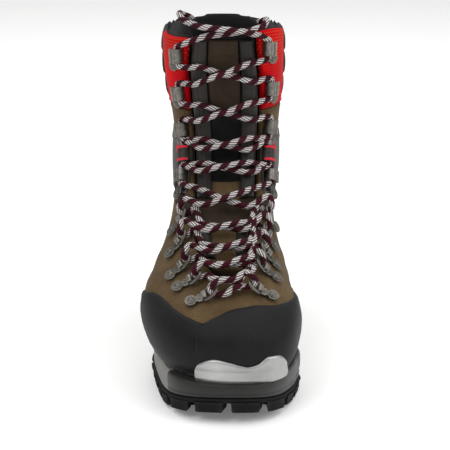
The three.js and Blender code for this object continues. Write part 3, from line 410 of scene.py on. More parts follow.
def braided(nodes, colour, height):
    # blocks of thin pale dashes between dark flecked stretches, wound along the cord; the near-black flecks are painted
    # shade in the dips between the picks, and the pale threads are painted lighter at each pick's crest, a painted
    # highlight
    grid = nodes.add("ShaderNodeUVMap", uv_map="cloth").outputs["UV"]
    parts = nodes.add("ShaderNodeSeparateXYZ", {0: grid})
    along, turn = parts.outputs[0], parts.outputs[1]
    sway = nodes.math("ADD", nodes.math("DIVIDE", along, 12.5), nodes.math("MULTIPLY", turn, 1.0))
    block = nodes.math("FRACT", sway)
    blockEnd = nodes.math("SUBTRACT", 1.0, nodes.ramp(block, 0.53, 0.61))
    pale = nodes.math("MULTIPLY", nodes.ramp(block, 0.05, 0.12), blockEnd)
    lay = nodes.math("SUBTRACT", nodes.math("MULTIPLY", turn, 8.0), nodes.math("DIVIDE", along, 7.5))
    strand = nodes.math("FRACT", lay)
    ridge = nodes.math("SINE", nodes.math("MULTIPLY", strand, math.pi))
    pick = nodes.math("FRACT", nodes.math("ADD", nodes.math("DIVIDE", along, 1.7), nodes.math("MULTIPLY", turn, 8.0)))
    stitch = nodes.math("SINE", nodes.math("MULTIPLY", pick, math.pi))
    light = nodes.math("MULTIPLY", pale, nodes.ramp(ridge, 0.5, 0.72))
    # painted shade: near-black where the picks dip, the same dips that the bump sinks
    dark = nodes.blend(nodes.ramp(stitch, 0.45, 0.8), (0.012, 0.006, 0.008, 1), colour)
    # painted highlight: the pale threads go lighter towards each pick's crest
    bright = nodes.blend(nodes.ramp(stitch, 0.1, 0.55), (0.34, 0.33, 0.32, 1), (0.62, 0.61, 0.59, 1))
    tinted = nodes.blend(light, dark, bright)
    lumps = nodes.math("ADD", nodes.math("MULTIPLY", ridge, 0.7), nodes.math("MULTIPLY", stitch, 0.5))
    return tinted, lumps


looks = {
    "nubuck": finish("nubuck", (0.073, 0.046, 0.021), (0.115, 0.076, 0.038), rough=(0.86, 0.96), cloud=48, grain=1500,
                     speck=0.7, bump=0.5, bumpDepth=0.0002, worn=(0.16, 0.115, 0.075), wornAmount=0.5, sheen=0.04),
    "tongueLeather": finish("tongueLeather", (0.026, 0.017, 0.011), (0.045, 0.031, 0.02), rough=(0.6, 0.8), cloud=40,
                            grain=1100, speck=0.35, bump=0.4, bumpDepth=0.0002),
    "randRubber": finish("randRubber", (0.003, 0.003, 0.0034), (0.0125, 0.0125, 0.0132), rough=(0.45, 0.65), cloud=22,
                         grain=1500, speck=0.55, bump=0.45, bumpDepth=0.00025, worn=(0.12, 0.115, 0.105),
                         wornAmount=0.9, gloss=0.14),
    "soleRubber": finish("soleRubber", (0.006, 0.006, 0.006), (0.011, 0.011, 0.011), rough=(0.6, 0.8), cloud=30,
                         grain=1600, speck=0.3, bump=0.3, bumpDepth=0.0002, worn=(0.04, 0.04, 0.04), wornAmount=0.4),
    "rimRubber": finish("rimRubber", (0.0085, 0.0082, 0.0076), (0.016, 0.0155, 0.0145), rough=(0.34, 0.5), gloss=0.3,
                        cloud=26,
                        grain=1500, speck=0.2, bump=0.2, bumpDepth=0.0002, worn=(0.09, 0.085, 0.08), wornAmount=0.5),
    "midsoleFoam": finish("midsoleFoam", (0.2, 0.195, 0.185), (0.28, 0.27, 0.26), rough=(0.6, 0.75), cloud=18,
                          grain=1300, speck=0.12, bump=0.25, bumpDepth=0.0002),
    "silver": finish("silver", (0.3, 0.3, 0.298), (0.44, 0.44, 0.435), rough=(0.3, 0.42), cloud=45, grain=2400,
                     speck=0.16, bump=0.2, bumpDepth=0.0001, metal=0.7, worn=(0.6, 0.6, 0.6), wornAmount=0.4,
                     gloss=0.5),
    "steel": finish("steel", (0.075, 0.069, 0.06), (0.15, 0.14, 0.122), rough=(0.34, 0.5), metal=0.85, cloud=90,
                    grain=2600, speck=0.2, bump=0.15, bumpDepth=0.0001, worn=(0.42, 0.4, 0.36), wornAmount=0.7,
                    gloss=0.5),
    "ankleCloth": finish("ankleCloth", (0.06, 0.056, 0.05), (0.11, 0.103, 0.094), rough=(0.5, 0.68), cloud=20,
                         grain=1800, speck=0.25, bump=0.3, bumpDepth=0.0002, worn=(0.24, 0.23, 0.22), wornAmount=0.4),
    "redCloth": finish("redCloth", (0.4, 0.001, 0.003), (0.56, 0.002, 0.006), rough=(0.6, 0.75), cloud=24,
                       grain=1900, speck=0.2, bump=0.35, bumpDepth=0.00025, gloss=0.05, extra=perforated),
    "redTape": finish("redTape", (0.48, 0.02, 0.035), (0.6, 0.03, 0.05), rough=(0.6, 0.75), cloud=40, grain=1500,
                      speck=0.25, bump=0.3, bumpDepth=0.0002),
    "blackCloth": finish("blackCloth", (0.006, 0.0055, 0.0055), (0.012, 0.011, 0.011), rough=(0.72, 0.9), cloud=26,
                         grain=1700, speck=0.4, bump=0.4, bumpDepth=0.0002, threads=4.2, sheen=0.08),
    "collarCloth": finish("collarCloth", (0.011, 0.0105, 0.0105), (0.021, 0.02, 0.02), rough=(0.66, 0.85), cloud=24,
                          grain=1500, speck=0.35, bump=0.4, bumpDepth=0.0002, threads=3.6, sheen=0.1),
    "stripSuede": finish("stripSuede", (0.012, 0.0098, 0.0084), (0.029, 0.0245, 0.021), rough=(0.4, 0.56), gloss=0.22,
                         cloud=30,
                         grain=1700, speck=0.35, bump=0.4, bumpDepth=0.0002, worn=(0.09, 0.08, 0.07), wornAmount=0.4),
    "liningCloth": finish("liningCloth", (0.006, 0.006, 0.0065), (0.013, 0.0125, 0.013), rough=(0.85, 0.98), cloud=30,
                          grain=1300, speck=0.4, bump=0.45, bumpDepth=0.0003, threads=2.6, sheen=0.05),
    "felt": finish("felt", (0.02, 0.02, 0.021), (0.034, 0.034, 0.036), rough=(0.9, 1.0), cloud=40, grain=900,
                   speck=0.5, bump=0.6, bumpDepth=0.0004),
    "fibreBoard": finish("fibreBoard", (0.26, 0.2, 0.13), (0.34, 0.27, 0.18), rough=(0.8, 0.9), cloud=50, grain=800,
                         speck=0.3, bump=0.3),
    "laceBraid": finish("laceBraid", (0.042, 0.004, 0.009), (0.078, 0.008, 0.017), rough=(0.7, 0.85), cloud=60,
                        grain=1800, speck=0.3, bump=0.8, bumpDepth=0.0005, extra=braided),
    "darkThread": finish("darkThread", (0.018, 0.016, 0.014), (0.03, 0.027, 0.024), rough=(0.6, 0.7), cloud=80,
                         grain=2500, speck=0.3, bump=0.2),
    "brownThread": finish("brownThread", (0.1, 0.066, 0.038), (0.14, 0.095, 0.058), rough=(0.6, 0.7), cloud=80,
                          grain=2500, speck=0.3, bump=0.2),
    "greyThread": finish("greyThread", (0.2, 0.19, 0.175), (0.27, 0.26, 0.24), rough=(0.6, 0.7), cloud=80,
                         grain=2500, speck=0.3, bump=0.2),
    "redThread": finish("redThread", (0.26, 0.006, 0.01), (0.34, 0.01, 0.014), rough=(0.6, 0.7), cloud=80,
                        grain=2500, speck=0.3, bump=0.2),
}
print("materials ready")

# mesh helpers


def newObject(name, verts, faces, look, uv=None, sharp=40):
    mesh = bpy.data.meshes.new(name)
    mesh.from_pydata([tuple(p) for p in np.asarray(verts) * mm], [], [tuple(int(i) for i in f) for f in faces])
    obj = bpy.data.objects.new(name, mesh)
    bpy.context.scene.collection.objects.link(obj)
    if uv is not None:
        layer = mesh.uv_layers.new(name="cloth")
        index = np.empty(len(mesh.loops), int)
        mesh.loops.foreach_get("vertex_index", index)
        layer.data.foreach_set("uv", np.asarray(uv, float)[index].ravel())
    mesh.materials.append(looks[look])
    tidyMesh(obj, sharp)
    return obj


def tidyMesh(obj, sharp=40, weld=1e-5):
    mesh = obj.data
    bm = bmesh.new()
    bm.from_mesh(mesh)
    bmesh.ops.remove_doubles(bm, verts=bm.verts, dist=weld)
    bmesh.ops.dissolve_degenerate(bm, edges=bm.edges, dist=weld / 2)
    bmesh.ops.recalc_face_normals(bm, faces=bm.faces)
    for face in bm.faces:
        face.smooth = True
    for edge in bm.edges:
        edge.smooth = not (len(edge.link_faces) == 2 and edge.calc_face_angle(0) > math.radians(sharp))
    bm.to_mesh(mesh)
    bm.free()
    mesh.update()
    markEdges(obj)


def markEdges(obj):
    # a mask of how far each corner stands out, for worn edges
    mesh = obj.data
    count = len(mesh.vertices)
    points = np.empty(count * 3)
    normals = np.empty(count * 3)
    mesh.vertices.foreach_get("co", points)
    mesh.vertices.foreach_get("normal", normals)
    points, normals = points.reshape(-1, 3), normals.reshape(-1, 3)
    ends = np.empty(len(mesh.edges) * 2, int)
    mesh.edges.foreach_get("vertices", ends)
    ends = ends.reshape(-1, 2)
    lean = np.zeros(count)
    near = np.zeros(count)
    for a, b in ((0, 1), (1, 0)):
        step = points[ends[:, b]] - points[ends[:, a]]
        long = np.maximum(np.linalg.norm(step, axis=1), 1e-9)
        np.add.at(lean, ends[:, a], -(step * normals[ends[:, a]]).sum(1) / long)
        np.add.at(near, ends[:, a], 1)
    bend = lean / np.maximum(near, 1)
    mask = np.clip((bend - 0.1) / 0.3, 0, 1)
    old = mesh.attributes.get("edge")
    if old:
        mesh.attributes.remove(old)
    attribute = mesh.attributes.new("edge", "FLOAT", "POINT")
    attribute.data.foreach_set("value", mask)


def joined(name, parts):
    verts, faces, uvs, start = [], [], [], 0
    for part in parts:
        points, cells = part[0], part[1]
        verts.append(np.asarray(points, float))
        faces += [tuple(int(i) + start for i in cell) for cell in cells]
        uvs.append(part[2] if len(part) > 2 else np.zeros((len(points), 2)))
        start += len(points)
    return np.concatenate(verts), faces, np.concatenate(uvs)


def softSteps(length, spacing, radius, low=True, high=True):
    # fractions along a length, close together over the rounded stretch at each end
    fine = [k for k in (0, 0.12, 0.3, 0.6, 1.0) if k * radius < length / 2]
    start = [k * radius for k in fine] if low else [0.0]
    stop = [length - k * radius for k in reversed(fine)] if high else [length]
    inside = stop[0] - start[-1]
    count = max(1, int(round(inside / spacing)))
    middle = list(np.linspace(start[-1], stop[0], count + 1)[1:-1])
    return np.array(start + middle + stop) / length


def shellFaces(rows, cols, closed=False):
    faces = []
    size = rows * cols

    def at(side, r, c):
        return side * size + r * cols + c % cols

    spans = cols if closed else cols - 1
    for r in range(rows - 1):
        for c in range(spans):
            faces.append((at(0, r, c), at(0, r, c + 1), at(0, r + 1, c + 1), at(0, r + 1, c)))
            faces.append((at(1, r, c), at(1, r + 1, c), at(1, r + 1, c + 1), at(1, r, c + 1)))
    for c in range(spans):
        faces.append((at(0, 0, c), at(1, 0, c), at(1, 0, c + 1), at(0, 0, c + 1)))
        faces.append((at(0, rows - 1, c), at(0, rows - 1, c + 1), at(1, rows - 1, c + 1), at(1, rows - 1, c)))
    if not closed:
        for r in range(rows - 1):
            faces.append((at(0, r, 0), at(0, r + 1, 0), at(1, r + 1, 0), at(1, r, 0)))
            faces.append((at(0, r, cols - 1), at(1, r, cols - 1), at(1, r + 1, cols - 1), at(0, r + 1, cols - 1)))
    return faces


def panel(name, look, place, out, inside, edges="lrbt", radius=1.2, spacing=2.6, closed=False, relief=None,
          size=None):
    probe = np.linspace(0, 1, 41)
    across = onLast(*place(probe, np.full(41, 0.5)))
    upward = onLast(*place(np.full(41, 0.5), probe))
    width = np.linalg.norm(np.diff(across, axis=0), axis=1).sum()
    height = np.linalg.norm(np.diff(upward, axis=0), axis=1).sum()
    if size:
        width, height = size
    us = softSteps(width, spacing, radius, "l" in edges, "r" in edges)
    vs = softSteps(height, spacing, radius, "b" in edges, "t" in edges)
    if closed:
        us = np.linspace(0, 1, max(8, int(width / spacing)) + 1)[:-1]
    u, v = np.meshgrid(us, vs)
    level, turn = place(u, v)
    rise = np.ones_like(u)
    for side, far in (("l", u * width), ("r", (1 - u) * width), ("b", v * height), ("t", (1 - v) * height)):
        if side in edges and not (closed and side in "lr"):
            k = np.clip(far / radius, 0, 1)
            rise = np.minimum(rise, np.sqrt(1 - (1 - k) ** 2))
    low = inside(level, turn) if callable(inside) else np.full_like(u, inside)
    high = out(level, turn) if callable(out) else np.full_like(u, out)
    top = high + (relief(level, turn, u * width, v * height, width, height) if relief else 0)
    outer = offLast(level, turn, mix(low, top, rise))
    inner = offLast(level, turn, low)
    verts = np.concatenate([outer.reshape(-1, 3), inner.reshape(-1, 3)])
    uv = np.stack([u * width, v * height], axis=-1).reshape(-1, 2)
    return newObject(name, verts, shellFaces(*u.shape, closed), look, np.concatenate([uv, uv]))


def wrapped(low, high, start=0.0, stop=2.0):

    def place(u, v):
        rough = mix(low(mix(0.17, 1.83, u)), high(mix(0.17, 1.83, u)), v)
        edge = throatTurn(rough)
        turn = mix(np.maximum(start, edge), np.minimum(stop, 2 - edge), u)
        return mix(low(wrapTurn(turn)), high(wrapTurn(turn)), v), turn

    return place


def stretched(start, stop, low, high):
    def place(u, v):
        turn = mix(start, stop, u)
        return mix(low(wrapTurn(turn)), high(wrapTurn(turn)), v), turn

    return place


def level(value):
    return lambda turn: np.full_like(np.asarray(turn, float), value)


def groove(distance, width, depth):
    return -depth * np.exp(-(distance / width) ** 2)


# sole
soleDims = {"rocker": 8.5, "rockerLength": 62, "thickness": 10, "pitch": 19, "gap": 6,
            "toeRound": 50, "heelRound": 50, "climbing": 24, "archLength": 17}
lateralSole = through([(0, last["lateralBall"] - 5), (0.1, last["lateralBall"] - 8), (0.25, last["lateralBall"] - 9),
                       (0.36, last["lateralBall"] - 8), (0.5, last["lateralHeel"] + 3),
                       (0.65, last["lateralHeel"] - 2), (0.8, last["lateralHeel"] - 3), (1, last["lateralHeel"] - 4)])
medialSole = through([(0, last["medialBall"] - 24), (0.1, last["medialBall"] - 15), (0.17, last["medialBall"] - 6),
                      (0.24, last["medialBall"] + 1), (0.36, last["medialBall"] + 1), (0.5, last["medialHeel"] + 4),
                      (0.65, last["medialHeel"] - 1), (1, last["medialHeel"] - 2)])


def soleEdge(turn):
    y = mix(soleFront, soleBack, (1 - np.cos(np.pi * np.abs(turn))) / 2)
    along = (y - soleFront) / (soleBack - soleFront)
    swell = rounding((y - soleFront) / soleDims["toeRound"], 2.5)
    swell = swell * rounding((soleBack - y) / soleDims["heelRound"], 2.3)
    half = np.where(turn < 0, lateralSole(along), medialSole(along))
    x = last["toeShift"] * (1 - ease((y - toeFront) / 95)) + np.sign(turn) * half * swell
    return np.stack([x + originX, y + originY], axis=-1)


def soleRing(inset, count=220):
    # close to evenly spaced points round the sole, moved in by an inset
    turns = np.linspace(-1, 1, 1200, endpoint=False)
    edge = soleEdge(turns)
    long = np.concatenate([[0], np.cumsum(np.linalg.norm(np.diff(np.vstack([edge, edge[:1]]), axis=0), axis=1))])
    want = np.linspace(0, long[-1], count, endpoint=False)
    closedEdge = np.vstack([edge, edge[:1]])
    ring = np.stack([np.interp(want, long, closedEdge[:, k]) for k in (0, 1)], axis=-1)
    ahead = np.roll(ring, -1, axis=0) - np.roll(ring, 1, axis=0)
    inward = unit(np.stack([-ahead[:, 1], ahead[:, 0]], axis=-1))
    return ring + inward * np.asarray(inset, float).reshape(-1, 1)


def rockerAt(y):
    ahead = (soleFront + originY + soleDims["rockerLength"] - y) / soleDims["rockerLength"]
    return soleDims["rocker"] * np.clip(ahead, 0, 1) ** 2


def lofted(name, look, rings, capped=True, sharp=40):
    count = len(rings[0])
    verts = np.concatenate(rings)
    faces = []
    for r in range(len(rings) - 1):
        for c in range(count):
            d = (c + 1) % count
            faces.append((r * count + c, r * count + d, (r + 1) * count + d, (r + 1) * count + c))
    if capped:
        faces.append(tuple(range(count))[::-1])
        faces.append(tuple(range((len(rings) - 1) * count, len(rings) * count)))
    return newObject(name, verts, faces, look, sharp=sharp)


def ringAt(inset, height):
    ring = soleRing(inset)
    z = height(ring[:, 1]) if callable(height) else np.full(len(ring), height)
    return np.column_stack([ring, z])


def makeOutsole():
    base = [(1.6, 6.5), (0.35, 6.9), (0.0, 8.0), (0.0, 9.0), (0.5, 9.7), (1.4, 10.0)]
    rings = [ringAt(inset, lambda y, h=h: rockerAt(y) + h) for inset, h in base]
    plate = lofted("outsolePlate", "soleRubber", rings)
    lugs = []
    front = soleFront + originY
    back = soleBack + originY
    ring = soleRing(0.15, 900)
    left = ring[ring[:, 0] < 0]
    right = ring[ring[:, 0] >= 0]
    order = left[:, 1].argsort()
    leftEdge = lambda y: np.interp(y, left[order, 1], left[order, 0])
    orderR = right[:, 1].argsort()
    rightEdge = lambda y: np.interp(y, right[orderR, 1], right[orderR, 0])
    middleAt = lambda y: last["toeShift"] * (1 - ease((y - originY - toeFront) / 95)) + originX

    def lug(outline):
        # a chamfered block from its foot on the plate down to the ground
        outline = np.asarray(outline, float)
        centre = outline.mean(0)
        ways = outline - centre
        size = np.linalg.norm(ways, axis=1, keepdims=True)
        parts = []
        for grow, rise in ((1.2, 7.2), (0.25, 5.4), (0.0, 3.0), (0.0, 1.0), (-0.35, 0.3), (-0.95, 0.0)):
            spread = centre + ways * (1 + grow / size)
            parts.append(np.column_stack([spread, rockerAt(spread[:, 1]) + rise]))
        count = len(outline)
        verts = np.concatenate(parts)
        faces = [(r * count + c, r * count + (c + 1) % count, (r + 1) * count + (c + 1) % count, (r + 1) * count + c)
                 for r in range(len(parts) - 1) for c in range(count)]
        faces.append(tuple(range((len(parts) - 1) * count, len(parts) * count)))
        faces.append(tuple(range(count))[::-1])
        return verts, faces

    def sideLug(y0, y1, edge, sign):
        ys = np.linspace(y0, y1, 7)
        outer = [(edge(y), y) for y in ys]
        inner0 = middleAt(y0) + sign * 15
        inner1 = middleAt(y1) + sign * 15
        bite = (y1 - y0) * 0.25
        return lug(outer + [(inner1 + sign * 2, y1), (inner1, y1 - bite), (inner0, y0 + bite), (inner0 + sign * 5, y0)])

    pitch, space = soleDims["pitch"], soleDims["gap"]
    breast = mix(soleFront, soleBack, 0.63) + originY
    y = front + soleDims["climbing"] + space
    while y + pitch - space < back:
        if y + pitch < breast or y > breast + soleDims["archLength"]:
            y1 = y + pitch - space
            lugs.append(sideLug(y, y1, leftEdge, -1))
            lugs.append(sideLug(y, y1, rightEdge, 1))
            m = middleAt(y)
            lugs.append(lug([(m - 11, y + space), (m - 5, y + space - 2.4), (m + 5, y + space - 2.4), (m + 11, y + space),
                             (m + 11, y1 - 1), (m + 6, y1), (m - 6, y1), (m - 11, y1 - 1)]))
        y += pitch
    # the climbing edge under the toe is cut by three notches
    toe = soleRing(0.15, 900)
    toe = toe[toe[:, 1] < front + soleDims["climbing"]]
    toe = toe[toe[:, 0].argsort()]
    cuts = np.quantile(toe[:, 0], [0, 0.24, 0.5, 0.76, 1.0])
    for k in range(4):
        x0, x1 = cuts[k] + (1.5 if k else 0), cuts[k + 1] - (1.5 if k < 3 else 0)
        part = toe[(toe[:, 0] >= x0) & (toe[:, 0] <= x1)][::6]
        rear = front + soleDims["climbing"]
        lugs.append(lug(np.vstack([part[:, :], [[x1, rear], [x0, rear]]])))
    verts, faces, _ = joined("lugs", lugs)
    tread = newObject("outsoleLugs", verts, faces, "soleRubber")
    for piece in (plate, tread):
        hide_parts("outsole")
        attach(piece, "foot")


def rimPiece(name, look, keep, sections, sharp=40):
    # a strip round the sole's edge: keep says which stretch, sections are (inset, share of height)
    base = soleRing(0, 440)
    inside = keep(base)
    first = next(i for i in range(len(base)) if inside[i] and not inside[i - 1]) if not inside.all() else 0
    order = [(first + i) % len(base) for i in range(len(base)) if inside[(first + i) % len(base)]]
    columns = []
    for inset, share in sections:
        ring = soleRing(inset, 440)[order]
        low = rockerAt(ring[:, 1]) + soleDims["thickness"] + gap
        high = featherAt(ring[:, 1]) - gap
        columns.append(np.column_stack([ring, mix(low, high, share)]))
    rows, count = len(columns), len(order)
    verts = np.concatenate(columns)
    whole = inside.all()
    faces = []
    for r in range(rows):
        s = (r + 1) % rows
        for c in range(count if whole else count - 1):
            d = (c + 1) % count
            faces.append((r * count + c, r * count + d, s * count + d, s * count + c))
    if not whole:
        faces.append(tuple(r * count for r in range(rows)))
        faces.append(tuple(r * count + count - 1 for r in range(rows))[::-1])
    return newObject(name, verts, faces, look, sharp=sharp)


def makeSoleSides():
    frontY = soleFront + originY
    lateralEnd, medialEnd = frontY + 29, frontY + 78

    def bumperKeep(ring):
        return np.where(ring[:, 0] < originX + 6, ring[:, 1] < lateralEnd, ring[:, 1] < medialEnd)

    lip = [(9.0, 0.02), (1.2, 0.0), (0.3, 0.05), (0.0, 0.16), (0.35, 0.24), (0.35, 0.3), (-0.25, 0.4), (-0.5, 0.62),
           (-0.4, 0.84), (0.0, 0.95), (0.9, 1.0), (9.0, 1.0)]
    bumper = rimPiece("toeBumper", "rimRubber", bumperKeep, lip)
    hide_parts("toe_bumper")
    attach(bumper, "foot")
    side = [(9.0, 0.02), (1.6, 0.0), (0.8, 0.06), (0.6, 0.2), (1.0, 0.3), (0.6, 0.38), (0.7, 0.7), (1.0, 0.9),
            (1.9, 1.0), (9.0, 1.0)]
    midsole = rimPiece("midsoleSide", "midsoleFoam", lambda ring: ~bumperKeep(ring), side)
    core = [ringAt(8.0, lambda y, s=s: mix(rockerAt(y) + soleDims["thickness"] + gap, featherAt(y) - gap - 1.9, s))
            for s in (0.0, 1.0)]
    filler = lofted("midsoleCore", "midsoleFoam", core)
    for piece in (midsole, filler):
        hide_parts("midsole")
        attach(piece, "foot")


makeOutsole()
makeSoleSides()
print("sole made")

# upper, foot part
randDims = {"seam": -0.075, "seamGap": 0.0025}
lateralRandTop = through([(0.07, 0.405), (0.135, 0.44), (0.23, 0.495), (0.33, 0.42), (0.5, 0.3), (0.75, 0.31),
                          (1, 0.4)])
medialRandTop = through([(-0.075, 0.4), (-0.045, 0.455), (0, 0.505), (0.05, 0.515), (0.13, 0.495), (0.2, 0.475),
                         (0.3, 0.44), (0.5, 0.3), (0.75, 0.31), (1, 0.4)])


def upperLow(extra):
    def low(turn):
        y = onLast(np.zeros_like(turn), turn)[..., 1]
        return levelAt(featherAt(y) + gap + extra)

    return low


def footEdge(turn):
    return np.minimum(footTop(turn), throatLow(np.abs(wrapTurn(turn))))


def creases(level, turn, u, v, width, height):
    # soft folds across the vamp where the toes bend, and broad ripples round it
    bend = np.exp(-((level - 0.56) / 0.16) ** 2)
    fold = 0.35 * bend * np.sin(level * 46 + np.cos(turn * 9) * 1.4) * np.exp(-((np.abs(turn) - 0.3) / 0.14) ** 2)
    wide = 0.25 * np.sin(turn * 23 + level * 5) * np.exp(-((level - 0.75) / 0.3) ** 2)
    return fold + wide - 0.15


def makeVamp():
    turnsFull = lambda u: mix(-1, 1, u)

    def place(u, v):
        turn = turnsFull(u)
        return mix(upperLow(0)(turn), footEdge(turn), v), turn

    vamp = panel("vamp", "nubuck", place, leatherOut, leatherIn, edges="t", radius=1.5, spacing=2.2, closed=True,
                 relief=creases, size=(560, 82))
    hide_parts("vamp_leather")
    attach(vamp, "foot")

    def inside(u, v):
        turn = turnsFull(u)
        return mix(upperLow(layers["leather"])(turn), footEdge(turn) - 0.01, v), turn

    lining = panel("footLining", "liningCloth", inside, liningOut, liningIn, edges="t", radius=2.5, spacing=4,
                   closed=True, size=(540, 80))
    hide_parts("lining_foot")
    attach(lining, "foot")


def randRelief(level, turn, u, v, width, height):
    # a thinned, bevelled top edge and faint flow lines
    top = (height - v)
    return groove(top - 3.4, 0.9, 0.25) - 0.5 * np.exp(-(top / 2.2) ** 2) + 0.07 * np.sin(level * 60 + turn * 30)


def makeRand():
    seam, space = randDims["seam"], randDims["seamGap"]
    low = upperLow(0)
    lateral = panel("randLateral", "randRubber", stretched(-1 + space, seam + 0.004, low, lambda t: lateralRandTop(-t)),
                    -0.15, -layers["rand"], edges="tr", radius=1.6, spacing=2.6, relief=randRelief)
    # the inner piece laps over the outer one at the toe
    lap = lambda level, turn: 0.9 * (1 - ease((turn - seam) / 0.04)) * ease((level - 0.17) / 0.08)
    medial = panel("randMedial", "randRubber", stretched(seam - 0.012, 1 - space, low, medialRandTop),
                   lambda lv, t: lap(lv, t), lambda lv, t: -layers["rand"] + lap(lv, t) * 2.7, edges="tl", radius=1.8,
                   spacing=2.4, relief=randRelief)
    for piece, node in ((lateral, "rand_lateral"), (medial, "rand_medial")):
        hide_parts(node)
        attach(piece, "foot")


toeLobes = through([(-0.1, 0.07), (-0.085, 0.13), (-0.045, 0.175), (-0.015, 0.155), (0.01, 0.125), (0.035, 0.14),
                    (0.07, 0.19), (0.105, 0.185), (0.14, 0.12), (0.155, 0.06)])


def makeLedges():
    def lip(height, thick):
        def out(level, turn):
            bail = 0.5 * np.exp(-((level - height - 0.055) / 0.02) ** 2)
            return 1.5 + thick * (1 - ease((level - height) / 0.05)) - bail

        return out

    toe = panel("toeLedge", "silver", stretched(-0.1, 0.155, upperLow(0), toeLobes), lip(0.028, 2.0), 0.1,
                edges="lrt", radius=1.4, spacing=1.2)
    heelTop = lambda t: 0.3 + 0.05 * np.cos((1 - np.abs(t)) * 20)
    heel = panel("heelLedge", "silver", stretched(0.87, 1.13, upperLow(0), heelTop), lip(0.12, 1.5), 0.1,
                 edges="lrt", radius=1.4, spacing=1.6)
    for piece, node in ((toe, "toe_crampon_insert"), (heel, "heel_crampon_insert")):
        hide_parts(node)
        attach(piece, "foot")


makeVamp()
makeRand()
makeLedges()
print("foot part made")

# upper, shaft part
shaftDims = {"quarterTop": 1.545, "panelTop": 1.345, "panelEdge": 0.215, "cuffBack": 0.4, "collarSwell": 1.4,
             "collarPad": 5.0}
levelGap = gap / (last["cuffHeight"] - last["ankleHeight"])
cuffOut = leatherOut + 0.6


def cuffTop(turn):
    lift = 0.05 * np.exp(-((turn - 0.2) / 0.2) ** 2)
    return 2 + lift - 0.02 * ease((np.abs(turn) - 0.5) / 0.3)


def collarOut(level, turn):
    share = np.clip((level - shaftDims["quarterTop"]) / 0.5, 0, 1)
    return cuffOut + shaftDims["collarSwell"] * np.sin(np.pi * share)


def onShaft(piece, slot, *nodes):
    for node in nodes:
        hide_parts(node)
    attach(piece, "shaft")
    return piece


def onFoot(piece, slot, *nodes):
    for node in nodes:
        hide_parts(node)
    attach(piece, "foot")
    return piece


padDims = {"voxel": 2.5, "steps": 20, "seamWidth": 1.6, "seamDepth": 1.0, "wrapRadius": 50, "swell": 0.8,
           "tongueRoom": 1.6}


def puffed(obj, pressure, cap, around=True, seams=()):
    scene = bpy.context.scene
    remesh = obj.modifiers.new("remesh", "REMESH")
    remesh.mode = "VOXEL"
    remesh.voxel_size = padDims["voxel"] * mm
    applyAll(obj)
    before = np.array([v.co[:] for v in obj.data.vertices])
    cloth = obj.modifiers.new("cloth", "CLOTH")
    settings = cloth.settings
    settings.use_pressure = True
    settings.uniform_pressure_force = pressure
    settings.effector_weights.gravity = 0
    cloth.point_cache.frame_start = 1
    cloth.point_cache.frame_end = padDims["steps"]
    for k in range(1, padDims["steps"] + 1):
        scene.frame_set(k)
    depsgraph = bpy.context.evaluated_depsgraph_get()
    after = np.array([v.co[:] for v in obj.evaluated_get(depsgraph).data.vertices])
    move = after - before
    size = np.linalg.norm(move, axis=1, keepdims=True)
    move *= np.minimum(1, cap * mm / np.maximum(size, 1e-9))
    obj.modifiers.remove(cloth)
    scene.frame_set(1)
    for vertex, place in zip(obj.data.vertices, before + move):
        vertex.co = place
    smooth = obj.modifiers.new("smooth", "SUBSURF")
    smooth.levels = smooth.render_levels = 1
    applyAll(obj)
    for polygon in obj.data.polygons:
        polygon.use_smooth = True
    if seams:
        sewn(obj, seams)
    layClothMap(obj, around)
    markEdges(obj)


def sewn(obj, seams):
    # level channels drawn into the outer side once the pad has its shape
    spots = np.array([v.co[:] for v in obj.data.vertices])
    normals = np.array([v.normal[:] for v in obj.data.vertices])
    middle = spots[:, :2].mean(0)
    outward = unit(spots[:, :2] - middle)
    facing = np.clip((normals[:, :2] * outward).sum(-1), 0, 1)
    low, high = spots[:, 2].min(), spots[:, 2].max()
    depth = sum(groove((spots[:, 2] - mix(low, high, share)) / mm, padDims["seamWidth"], padDims["seamDepth"])
                for share in seams)
    spots += normals * (depth * facing * mm)[:, None]
    for vertex, place in zip(obj.data.vertices, spots):
        vertex.co = place


def layClothMap(obj, around):
    # millimetres along and up the cloth; round the shaft the map is cut in front, where the throat is open
    layer = obj.data.uv_layers.new(name="cloth")
    spots = np.array([v.co[:] for v in obj.data.vertices]) / mm
    middle = spots[:, :2].mean(0)
    if around:
        along = np.arctan2(spots[:, 0] - middle[0], spots[:, 1] - middle[1]) * padDims["wrapRadius"]
    else:
        along = spots[:, 0]
    for loop in obj.data.loops:
        layer.data[loop.index].uv = (along[loop.vertex_index], spots[loop.vertex_index, 2])


def applyAll(obj):
    depsgraph = bpy.context.evaluated_depsgraph_get()
    baked = bpy.data.meshes.new_from_object(obj.evaluated_get(depsgraph))
    old = obj.data
    obj.modifiers.clear()
    obj.data = baked
    bpy.data.meshes.remove(old)


